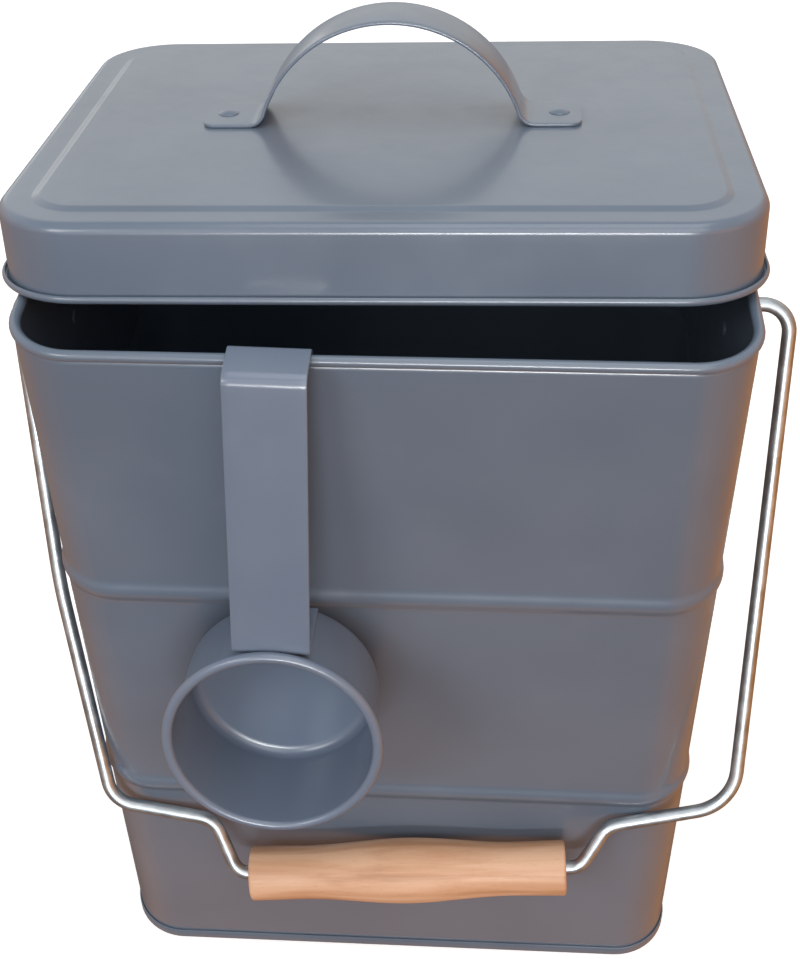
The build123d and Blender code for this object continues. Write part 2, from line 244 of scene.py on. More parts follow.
@dataclass(frozen=True)
class ZincWire:
    """Drawn steel wire with a bright zinc plating.

    The plating is a pale, slightly bluish metal. The drawing die leaves fine streaks along the
    wire, which break up its highlight, and the zinc has dulled in small cloudy patches.
    """

    name: str = "zinc_plated_drawn_wire"
    light: str = "#c4c9cc"
    dark: str = "#9ca3a7"
    gloss: float = 0.36
    dull: float = 0.48
    cloud_size: float = 5.0
    streak_length: float = 18.0
    streak_width: float = 0.4  # several times the real width, so that the streaks show
    streak_depth: float = 0.008

    def build(self) -> Material:
        """Builds the material.

        Returns:
            The material.
        """
        material, node, place = new_material(self.name)
        run = node("ShaderNodeAttribute", attribute_name="along_and_around")["Vector"]
        scale = (per_metre(self.streak_length), per_metre(self.streak_width), 1.0)
        stretched = node(MAPPING, {"Vector": run, "Scale": scale})["Vector"]
        streak = node(NOISE, {"Vector": stretched, "Scale": 1.0, "Detail": 3.0})
        cloud = node(NOISE, {"Vector": place, "Scale": per_metre(self.cloud_size), "Detail": 4.0})
        tone = node(MATH, {0: streak["Fac"], 1: cloud["Fac"]}, operation="MULTIPLY")
        shine = {"From Min": 0.35, "From Max": 0.65, "To Min": self.gloss, "To Max": self.dull}
        drawn = {"Height": streak["Fac"], "Distance": self.streak_depth * MM, "Strength": 0.6}
        plated = {
            "Base Color": node(RAMP, {"Fac": tone[0]}, {0.12: self.dark, 0.4: self.light})[0],
            "Metallic": 1.0,
            "Roughness": node(MAP_RANGE, {"Value": cloud["Fac"], **shine})["Result"],
            "Normal": node(BUMP, drawn)["Normal"],
        }
        end_material(node, plated)
        return material


@dataclass(frozen=True)
class TurnedBeech:
    """Steamed beech, turned on a lathe, sanded and left with a thin clear seal.

    Steaming makes beech pinkish. Its grain runs along the grip as soft darker bands, with short
    brown flecks and fine pores. The grip's own axis says which way the grain runs.
    """

    axis: Matrix
    name: str = "turned_steamed_beech"
    light: str = "#dfb492"
    middle: str = "#d0a07c"
    dark: str = "#bd8c66"
    fleck: str = "#a87350"
    band_width: float = 4.6
    band_length: float = 70.0
    pore_width: float = 0.28  # about three times the real width, so that the pores show
    pore_length: float = 3.5
    pore_depth: float = 0.03
    roughness: float = 0.48

    def build(self) -> Material:
        """Builds the material.

        Returns:
            The material.
        """
        material, node, place = new_material(self.name)
        turn = self.axis.inverted()
        lie = {"Location": turn.to_translation(), "Rotation": turn.to_euler()}
        centred = node(MAPPING, {"Vector": place, **lie})["Vector"]
        grains = []
        for length, width, settings in (
            (self.band_length, self.band_width, {"Detail": 4.0, "Distortion": 0.4}),
            (self.pore_length, self.pore_width, {"Detail": 2.0}),
        ):
            scale = (per_metre(length), per_metre(width), per_metre(width))
            stretched = node(MAPPING, {"Vector": centred, "Scale": scale})["Vector"]
            grains.append(node(NOISE, {"Vector": stretched, "Scale": 1.0, **settings})["Fac"])
        bands, pores = grains
        tones = {0.36: self.dark, 0.48: self.middle, 0.62: self.light}
        fleck = node(MAP_RANGE, {"Value": pores, "From Min": 0.6, "From Max": 0.76, "To Max": 0.35})
        wood = {0: fleck["Result"], 6: node(RAMP, {"Fac": bands}, tones)[0], 7: linear(self.fleck)}
        open_pores = {"Height": pores, "Distance": self.pore_depth * MM, "Strength": 0.5}
        sealed = {
            "Base Color": node(MIX, wood, data_type="RGBA")[2],
            "Roughness": self.roughness,
            "IOR": 1.5,
            "Normal": node(BUMP, open_pores)["Normal"],
        }
        end_material(node, sealed)
        return material


@dataclass(frozen=True)
class OpalAcrylic:
    """Opal acrylic, the matt white sheet of a light table. Its glow drowns most of the shadow."""

    name: str = "opal_acrylic_sheet"
    colour: str = "#f4f4f3"
    roughness: float = 0.9
    glow: float = 0.5
    grain_size: float = 30.0
    grain_depth: float = 0.02

    def build(self) -> Material:
        """Builds the material.

        Returns:
            The material.
        """
        material, node, place = new_material(self.name)
        grain = node(NOISE, {"Vector": place, "Scale": per_metre(self.grain_size)})
        matt = {"Height": grain["Fac"], "Distance": self.grain_depth * MM}
        lit = {
            "Base Color": linear(self.colour),
            "Roughness": self.roughness,
            "Normal": node(BUMP, matt)["Normal"],
            "Emission Color": linear(self.colour),
            "Emission Strength": self.glow,
        }
        end_material(node, lit)
        return material


# ---------------------------------------------------------------- lines and sheets


def arc(centre: Point, radius: float, start: float, end: float, count: int) -> list[Point]:
    """Points on an arc.

    Args:
        centre: The arc's centre.
        radius: Its radius.
        start: The first point's angle in radians, anticlockwise from the first axis.
        end: The last point's angle.
        count: How many points.

    Returns:
        The points.
    """
    x, y = centre
    angles = np.linspace(start, end, count)
    return [(x + radius * math.cos(a), y + radius * math.sin(a)) for a in angles]


def axes(x: Sequence[float], y: Sequence[float], z: Sequence[float], at: Sequence[float]) -> Matrix:
    """A frame.

    Args:
        x: The way that its X points.
        y: The way that its Y points.
        z: The way that its Z points.
        at: Its origin.

    Returns:
        The frame.
    """
    return Matrix([(*row, place) for *row, place in zip(x, y, z, at)] + [(0, 0, 0, 1)])


class Centreline:
    """A line in a plane, drawn from its start in straight runs and arcs."""

    def __init__(self, start: Point, heading: float) -> None:
        """Starts the line.

        Args:
            start: Its first point.
            heading: Its direction in degrees, anticlockwise from the first axis.
        """
        self.points: list[Point] = [start]
        self.heading = heading

    def run(self, length: float, step: float = 5.0) -> None:
        """Draws a straight run.

        Args:
            length: Its length.
            step: The longest piece that it is divided into.
        """
        x, y = self.points[-1]
        across, up = math.cos(math.radians(self.heading)), math.sin(math.radians(self.heading))
        count = max(1, math.ceil(length / step))
        for far in [length * i / count for i in range(1, count + 1)]:
            self.points.append((x + far * across, y + far * up))

    def turn(self, radius: float, angle: float, pitch: float) -> None:
        """Draws an arc that starts in the line's direction.

        Args:
            radius: The arc's radius.
            angle: How far it turns in degrees, anticlockwise if above 0.
            pitch: The largest turn between two points.
        """
        side = math.copysign(1.0, angle)
        x, y = self.points[-1]
        start = math.radians(self.heading)
        middle = (x - side * radius * math.sin(start), y + side * radius * math.cos(start))
        count = max(2, math.ceil(abs(angle) / pitch))
        first = start - side * QUARTER
        self.points += arc(middle, radius, first, first + math.radians(angle), count + 1)[1:]
        self.heading += angle

    @classmethod
    def through(
        cls, corners: Sequence[Point], radii: Sequence[float], step: float = 5.0, pitch: float = 6.0
    ) -> Centreline:
        """Draws a line through corners and rounds them.

        Args:
            corners: The ends and the corners between them.
            radii: The radius at each corner between the ends.
            step: The longest piece of a straight run.
            pitch: The largest turn between two points.

        Returns:
            The line.
        """
        points = np.array(corners, float)
        runs = np.diff(points, axis=0)
        headings = np.degrees(np.arctan2(runs[:, 1], runs[:, 0]))
        turns = (np.diff(headings) + 180) % 360 - 180
        cuts = [r * math.tan(math.radians(abs(t)) / 2) for r, t in zip(radii, turns)]
        line = cls(tuple(points[0]), headings[0])
        for i, (length, before, after) in enumerate(
            zip(np.linalg.norm(runs, axis=1), [0.0, *cuts], [*cuts, 0.0])
        ):
            line.run(length - before - after, step)
            if i < len(turns):
                line.turn(radii[i], turns[i], pitch)
        return line


def sides(line: Sequence[Point]) -> np.ndarray:
    """The unit normal to the left of a line at each of its points."""
    ways = np.gradient(np.array(line, float), axis=0)
    ways /= np.linalg.norm(ways, axis=1)[:, None]
    return np.stack([-ways[:, 1], ways[:, 0]], axis=1)


def sheet_outline(line: Sequence[Point], thickness: float, closed: bool) -> np.ndarray:
    """The outline of a sheet that lies along a line.

    Args:
        line: The middle of the sheet.
        thickness: The sheet's thickness.
        closed: True if the outline goes round the line's start as well as its end.

    Returns:
        The outline's points, along the left side and back along the right.
    """
    middle, left, half = np.array(line, float), sides(line), thickness / 2

    def edge(centre: np.ndarray, side: np.ndarray) -> list[np.ndarray]:
        """The rounded edge of the sheet, from one face to the other."""
        ahead = np.array([side[1], -side[0]])
        turned = arc((0, 0), half, 0, math.pi, EDGE_STEPS + 1)[1:-1]
        return [centre + across * side + on * ahead for across, on in turned]

    outline = [*(middle + half * left), *edge(middle[-1], left[-1]), *(middle - half * left)[::-1]]
    return np.array(outline + (edge(middle[0], -left[0]) if closed else []))


def ripple(places: np.ndarray, size: float, seed: int) -> np.ndarray:
    """A smooth, irregular wave over space, for sheet that isn't quite flat.

    Args:
        places: The points.
        size: The typical width of a wave.
        seed: Fixes the wave.

    Returns:
        A value from about -1 to 1 at each point.
    """
    rng = np.random.default_rng(seed)
    total = np.zeros(len(places))
    for _ in range(6):
        way = rng.normal(size=3)
        way *= 2 * math.pi / size * rng.uniform(0.5, 1.0) / np.linalg.norm(way)
        total += np.sin(places @ way + rng.uniform(0, 2 * math.pi))
    return total / 3


# ---------------------------------------------------------------- meshes


def new_object(name: str, data: Any) -> bpy.types.Object:
    """Puts an object with this mesh, light or camera into the scene."""
    thing = bpy.data.objects.new(name, data)
    bpy.context.scene.collection.objects.link(thing)
    return thing


def new_piece(
    name: str,
    points: np.ndarray,
    faces: Sequence[Sequence[int]] = (),
    edges: Sequence[tuple[int, int]] = (),
) -> Piece:
    """Makes an object from points in millimetres.

    Args:
        name: The object's name.
        points: The points.
        faces: The faces, as indices of the points.
        edges: The edges that are on no face.

    Returns:
        The object, with its mesh in metres.
    """
    mesh = bpy.data.meshes.new(name)
    mesh.from_pydata((np.asarray(points, float) * MM).tolist(), edges, faces)
    return new_object(name, mesh)


def new_outline(name: str, points: np.ndarray, closed: bool) -> Piece:
    """Makes an object of edges alone.

    Args:
        name: The object's name.
        points: Points of two or three coordinates, in millimetres.
        closed: True if the last point joins the first.

    Returns:
        The object, with its mesh in metres.
    """
    count = len(points)
    edges = [(i, (i + 1) % count) for i in range(count if closed else count - 1)]
    return new_piece(name, np.pad(points, ((0, 0), (0, 3 - points.shape[1]))), edges=edges)


def smooth(piece: Piece, sharp_angle: float = 40.0) -> None:
    """Shades a piece smooth, apart from the edges that turn more than an angle in degrees."""
    piece.data.shade_smooth()
    piece.data.set_sharp_from_angle(angle=math.radians(sharp_angle))


def close_up(piece: Piece) -> None:
    """Merges double points, turns the faces outwards and shades them smooth.

    Args:
        piece: The piece, whose mesh is closed once its double points are merged.
    """
    work = bmesh.new()
    work.from_mesh(piece.data)
    bmesh.ops.remove_doubles(work, verts=work.verts, dist=SAME_PLACE)
    bmesh.ops.recalc_face_normals(work, faces=work.faces)
    if work.calc_volume(signed=True) < 0:
        bmesh.ops.reverse_faces(work, faces=work.faces)
    open_edges = sum(edge.is_boundary for edge in work.edges)
    if open_edges:
        log.warning("%s has %d open edges", piece.name, open_edges)
    work.to_mesh(piece.data)
    work.free()
    smooth(piece)


def settle(piece: Piece, frame: Matrix, finish: Material) -> Piece:
    """Puts a piece's mesh into its place, closes it up and gives it its material.

    Args:
        piece: The piece. Its object stays at the origin.
        frame: The place, with its origin in millimetres.
        finish: The material.

    Returns:
        The piece.
    """
    metres = frame.copy()
    metres.translation = frame.translation * MM
    piece.data.transform(metres)
    close_up(piece)
    piece.data.materials.clear()
    piece.data.materials.append(finish)
    return piece


def discard(piece: Piece) -> None:
    """Removes an object and its mesh."""
    mesh = piece.data
    bpy.data.objects.remove(piece)
    bpy.data.meshes.remove(mesh)


def skin(name: str, rows: np.ndarray, looped: bool, wraps: bool) -> Piece:
    """Makes a piece from rows of points, with a strip of faces from each to the next.

    Args:
        name: The piece's name.
        rows: The rows' points.
        looped: True if each row's last point joins its first.
        wraps: True if the last row joins the first. If not, a face closes each end.

    Returns:
        The piece.
    """
    count, size = rows.shape[:2]
    index = np.arange(count * size).reshape(count, size).tolist()
    faces = []
    for i in range(count if wraps else count - 1):
        here, there = index[i], index[(i + 1) % count]
        for j in range(size if looped else size - 1):
            k = (j + 1) % size
            faces.append((here[j], here[k], there[k], there[j]))
    if not wraps:
        faces += [index[0], index[-1][::-1]]
    return new_piece(name, rows.reshape(-1, 3), faces)


def revolve(name: str, profile: Sequence[Point], segments: int) -> Piece:
    """Turns a profile about the local Z axis.

    Args:
        name: The piece's name.
        profile: Distances from the axis and heights along it.
        segments: How many segments round the axis.

    Returns:
        The piece.
    """
    radii, heights = np.array(profile, float).T
    angles = np.linspace(0, 2 * math.pi, segments, endpoint=False)
    rows = [np.stack([radii * math.cos(a), radii * math.sin(a), heights], axis=1) for a in angles]
    return skin(name, np.array(rows), looped=False, wraps=True)


def bent_strip(
    name: str,
    line: Sequence[Point],
    widths: np.ndarray,
    thickness: float,
    edge_radius: float,
    crowns: np.ndarray,
) -> Piece:
    """Bends a flat strip along a line in the local XZ plane. Its width lies along Y.

    Args:
        name: The piece's name.
        line: The middle of the strip.
        widths: The strip's width at each point of the line.
        thickness: Its thickness.
        edge_radius: How far its long edges are rounded.
        crowns: How far its middle stands above its edges at each point of the line.

    Returns:
        The piece.
    """
    half = thickness / 2
    corner = arc((edge_radius, edge_radius), edge_radius, math.pi, 3 * QUARTER, EDGE_STEPS)
    across = np.linspace(-0.5, 0.5, STRIP_STEPS + 1)[1:-1]
    rows = []
    for centre, side, width, crown in zip(np.array(line, float), sides(line), widths, crowns):
        top = [(inset - width / 2, half - drop) for inset, drop in corner]
        top += [(share * (width - 2 * edge_radius), half) for share in across]
        top += [(width / 2 - inset, half - drop) for inset, drop in reversed(corner)]
        y, height = np.array(top + [(-y, -height) for y, height in top]).T
        lift = height + crown * (1 - (2 * y / widths.max()) ** 2)
        points = centre + side * lift[:, None]
        rows.append(np.stack([points[:, 0], y, points[:, 1]], axis=1))
    return skin(name, np.array(rows), looped=True, wraps=False)


# ---------------------------------------------------------------- node trees


def new_tree(name: str, sizes: dict[str, str]) -> tuple[Tree, Adder, Any]:
    """Starts a Geometry Nodes tree.

    Args:
        name: The tree's name.
        sizes: The name and kind of each input after the geometry.

    Returns:
        The tree, what adds nodes to it, and its inputs.
    """
    tree = bpy.data.node_groups.new(name, "GeometryNodeTree")
    for label, kind in {"Geometry": "Geometry", **sizes, "Finish": "Material"}.items():
        tree.interface.new_socket(label, in_out="INPUT", socket_type=f"NodeSocket{kind}")
    tree.interface.new_socket("Geometry", in_out="OUTPUT", socket_type="NodeSocketGeometry")
    node = partial(add, tree)
    return tree, node, node("NodeGroupInput")


def end_tree(node: Adder, geometry: Any, finish: Any) -> None:
    """Ends a tree in plain mesh with a material.

    Args:
        node: What adds nodes to the tree.
        geometry: The geometry to put out.
        finish: The input socket that holds the material.
    """
    real = node("GeometryNodeRealizeInstances", {"Geometry": geometry})
    dressed = node("GeometryNodeSetMaterial", {"Geometry": real[0], "Material": finish})
    node("NodeGroupOutput", {"Geometry": dressed[0]})


def grow(host: Piece, tree: Tree, inputs: dict[str, Any], *helpers: Piece) -> Piece:
    """Runs a tree on an object and keeps the result as its plain mesh.

    Args:
        host: The object that the tree starts from.
        tree: The tree.
        inputs: The value of each named input.
        helpers: Objects that the tree reads, which are removed afterwards.

    Returns:
        The host, with the new mesh and no modifier.
    """
    modifier = host.modifiers.new(tree.name, "NODES")
    modifier.node_group = tree
    for item in tree.interface.items_tree:
        if item.in_out == "INPUT" and item.name in inputs:
            modifier[item.identifier] = inputs[item.name]
    graph = bpy.context.evaluated_depsgraph_get()
    mesh = bpy.data.meshes.new_from_object(host.evaluated_get(graph))
    host.modifiers.clear()
    old, host.data = host.data, mesh
    mesh.name = host.name
    bpy.data.meshes.remove(old)
    for helper in helpers:
        discard(helper)
    return host


def sheet_sweep_tree() -> Tree:
    """A sheet section that is swept round a rounded rectangle.

    The section's X is the distance out from the rectangle. Its Y points down, as the sweep turns
    it upside down.

    Returns:
        The tree.
    """
    sizes = {"Width": "Float", "Depth": "Float", "Corner Radius": "Float", "Corner Steps": "Int"}
    sizes |= {"Straight Step": "Float", "Section": "Object"}
    tree, node, given = new_tree("sheet_sweep", sizes)
    box = {"Width": given["Width"], "Height": given["Depth"]}
    box = node("GeometryNodeCurvePrimitiveQuadrilateral", box, mode="RECTANGLE")
    corners = {"Count": given["Corner Steps"], "Radius": given["Corner Radius"]}
    rounded = node("GeometryNodeFilletCurve", {"Curve": box[0], **corners}, mode="POLY")
    here = node("GeometryNodeInputPosition")[0]
    index = node("GeometryNodeInputIndex")[0]
    follows = node("GeometryNodeOffsetPointInCurve", {"Point Index": index, "Offset": 1})
    next_place = {"Value": here, "Index": follows["Point Index"]}
    there = node("GeometryNodeFieldAtIndex", next_place, data_type="FLOAT_VECTOR", domain="POINT")
    gap = node("ShaderNodeVectorMath", {0: here, 1: there[0]}, operation="DISTANCE")["Value"]
    cuts = node(MATH, {0: gap, 1: given["Straight Step"]}, operation="DIVIDE")
    divided = node("GeometryNodeSubdivideCurve", {"Curve": rounded[0], "Cuts": cuts[0]})
    upright = node("GeometryNodeSetCurveNormal", {"Curve": divided[0]}, mode="Z_UP")
    shape = node("GeometryNodeObjectInfo", {"Object": given["Section"]})["Geometry"]
    profile = node("GeometryNodeMeshToCurve", {0: shape})
    swept = {"Curve": upright[0], "Profile Curve": profile[0]}
    end_tree(node, node("GeometryNodeCurveToMesh", swept)[0], given["Finish"])
    return tree


def bent_wire_tree() -> Tree:
    """A round wire along straight runs, whose bends take their radii from the points.

    Returns:
        The tree.
    """
    sizes = {"Wire Radius": "Float", "Bend Steps": "Int", "Sides": "Int", "Run Step": "Float"}
    tree, node, given = new_tree("bent_wire", sizes)
    route = node("GeometryNodeMeshToCurve", {0: given["Geometry"]})
    radius = node(NAMED, {"Name": "bend_radius"}, data_type="FLOAT")
    bends = {"Curve": route[0], "Count": given["Bend Steps"], "Radius": radius[0]}
    bent = node("GeometryNodeFilletCurve", bends, mode="POLY")
    step = {"Curve": bent[0], "Length": given["Run Step"]}
    fine = node("GeometryNodeResampleCurve", step, mode="LENGTH")
    girth = {"Resolution": given["Sides"], "Radius": given["Wire Radius"]}
    ring = node("GeometryNodeCurvePrimitiveCircle", girth, mode="RADIUS")
    marked, kept = [], []
    for name, curve in (("along", fine[0]), ("around", ring[0])):
        length = node("GeometryNodeSplineParameter")["Length"]
        mark = {"Geometry": curve, "Name": name, "Value": length}
        marked.append(node(STORE, mark, data_type="FLOAT", domain="POINT")[0])
        kept.append(node(NAMED, {"Name": name}, data_type="FLOAT")[0])
    drawn = {"Curve": marked[0], "Profile Curve": marked[1], "Fill Caps": True}
    swept = node("GeometryNodeCurveToMesh", drawn)
    both = node("ShaderNodeCombineXYZ", {"X": kept[0], "Y": kept[1]})
    mark = {"Geometry": swept[0], "Name": "along_and_around", "Value": both[0]}
    stored = node(STORE, mark, data_type="FLOAT_VECTOR", domain="POINT")
    end_tree(node, stored[0], given["Finish"])
    return tree


def rivet_set_tree() -> Tree:
    """A rivet on each point, facing the way that the point says and turned by chance.

    Returns:
        The tree.
    """
    tree, node, given = new_tree("rivet_set", {"Rivet": "Object", "Seed": "Int"})
    seats = node("GeometryNodeMeshToPoints", {"Mesh": given["Geometry"]})
    facing = node(NAMED, {"Name": "facing"}, data_type="FLOAT_VECTOR")
    turn = node("FunctionNodeAlignRotationToVector", {"Vector": facing[0]}, axis="Z")
    any_turn = {"Max": (0.0, 0.0, 2 * math.pi), "Seed": given["Seed"]}
    chance = node("FunctionNodeRandomValue", any_turn, data_type="FLOAT_VECTOR")
    spin = {"Rotation": turn[0], "Rotate By": chance[0]}
    spun = node("FunctionNodeRotateRotation", spin, rotation_space="LOCAL")
    blank = node("GeometryNodeObjectInfo", {"Object": given["Rivet"]})["Geometry"]
    set_in = {"Points": seats[0], "Instance": blank, "Rotation": spun[0]}
    end_tree(node, node("GeometryNodeInstanceOnPoints", set_in)[0], given["Finish"])
    return tree


# ---------------------------------------------------------------- shared parts


@dataclass(frozen=True)
class Kit:
    """What the sub-assemblies share: the node trees and the tin's enamel."""

    sheet_sweep: Tree = field(default_factory=sheet_sweep_tree)
    bent_wire: Tree = field(default_factory=bent_wire_tree)
    rivet_set: Tree = field(default_factory=rivet_set_tree)
    enamel: Material = field(default_factory=lambda: SatinEnamel().build())


@dataclass(frozen=True)
class RoundedBox:
    """A rounded rectangle seen from above, which enamelled sheet is swept round."""

    width: float
    depth: float
    corner: float
    corner_steps: int = 14
    straight_step: float = 5.0

    def sweep(self, name: str, section: np.ndarray, closed: bool, kit: Kit) -> Piece:
        """Sweeps a section round the box.

        Args:
            name: The piece's name.
            section: Its points, as distances out from the box and heights.
            closed: True if the section is closed.
            kit: The trees and the enamel.

        Returns:
            The piece.
        """
        shape = new_outline(f"{name}_section", section * [1, -1], closed)
        host = new_outline(name, np.zeros((2, 3)), False)
        inputs = {
            "Width": self.width * MM,
            "Depth": self.depth * MM,
            "Corner Radius": self.corner * MM,
            "Corner Steps": self.corner_steps,
            "Straight Step": self.straight_step * MM,
            "Section": shape,
            "Finish": kit.enamel,
        }
        return grow(host, kit.sheet_sweep, inputs, shape)


def fill_panel(piece: Piece, rings: int = 22) -> None:
    """Closes each open loop of a swept sheet with rings that shrink towards its middle.

    Args:
        piece: The piece.
        rings: How many rings.
    """
    work = bmesh.new()
    work.from_mesh(piece.data)
    bmesh.ops.remove_doubles(work, verts=work.verts, dist=SAME_PLACE)
    # A dict and not a set, so that the faces come in the same order on every run.
    pending = dict.fromkeys(edge for edge in work.edges if edge.is_boundary)
    while pending:
        loop = list(pending.popitem()[0].verts)
        while follow := next((e for e in loop[-1].link_edges if e in pending), None):
            del pending[follow]
            loop.append(follow.other_vert(loop[-1]))
        loop = loop[:-1] if loop[0] is loop[-1] else loop
        outer = loop
        for share in [1 - i / rings for i in range(1, rings)]:
            inner = [work.verts.new((v.co.x * share, v.co.y * share, v.co.z)) for v in loop]
            for j in range(len(loop)):
                k = (j + 1) % len(loop)
                work.faces.new((outer[j], outer[k], inner[k], inner[j]))
            outer = inner
        middle = work.verts.new((0, 0, loop[0].co.z))
        for j in range(len(loop)):
            work.faces.new((outer[j], outer[(j + 1) % len(loop)], middle))
    work.to_mesh(piece.data)
    work.free()


@dataclass(frozen=True)
class Rivet:
    """A domed rivet, made with its seat at the origin and its head up."""

    shank_radius: float
    head_radius: float
    head_height: float
    grip: float
    edge: float = 0.12
    flare: float = 0.02
    undercut: float = 0.05
    tail_share: float = 0.7  # of the head's height
    tail_start: float = 0.15  # radians
    sharp_angle: float = 50.0
    segments: int = 28
    seed: int = 7

    def blank(self, name: str) -> Piece:
        """Turns the rivet.

        Args:
            name: The piece's name.

        Returns:
            The piece.
        """
        rise = self.head_height - self.edge
        dome = (self.head_radius**2 + rise**2) / (2 * rise)
        reach = math.asin(self.head_radius / dome)
        profile = arc((0.0, self.head_height - dome), dome, QUARTER, QUARTER - reach, 12)
        tail_radius = (self.shank_radius + self.head_radius) / 2
        tail = self.tail_share * self.head_height
        profile += [
            (self.head_radius + self.flare, self.edge / 2),
            (self.head_radius - self.undercut, 0),
            (self.shank_radius, 0),
            (self.shank_radius, -self.grip),
            (tail_radius, -self.grip),
        ]
        bulge = arc((0, 0), 1, self.tail_start, QUARTER, 7)
        profile += [(tail_radius * across, -self.grip - tail * down) for across, down in bulge]
        profile[0] = (0.0, profile[0][1])
        profile[-1] = (0.0, profile[-1][1])
        piece = revolve(name, profile, self.segments)
        close_up(piece)
        return piece

    def set_on(
        self, name: str, seats: Sequence[tuple[Vector, Vector]], kit: Kit, finish: Material
    ) -> Piece:
        """Puts a rivet on each seat.

        Args:
            name: The piece's name.
            seats: Each rivet's place and the way that its head faces.
            kit: The trees.
            finish: The material.

        Returns:
            The piece.
        """
        blank = self.blank(f"{name}_blank")
        host = new_piece(name, np.array([tuple(seat) for seat, _ in seats]))
        facing = host.data.attributes.new("facing", "FLOAT_VECTOR", "POINT")
        for item, (_, way) in zip(facing.data, seats):
            item.vector = way
        inputs = {"Rivet": blank, "Seed": self.seed, "Finish": finish}
        grow(host, kit.rivet_set, inputs, blank)
        smooth(host, self.sharp_angle)
        return host


def register(
    piece: Piece, body: Body, *nodes: str, slot: Slot = Slot.PAINTED_STEEL
) -> None:
    """Ties a finished piece to its body and to the CAD nodes that it stands for.

    Args:
        piece: The piece.
        body: The body that it moves with.
        nodes: The CAD nodes that it replaces.
        slot: Not used.
    """
    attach(piece, body.value)
    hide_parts(*nodes)
    log.info("%s on %s stands for %s", piece.name, body.value, ", ".join(nodes))


# ---------------------------------------------------------------- tin


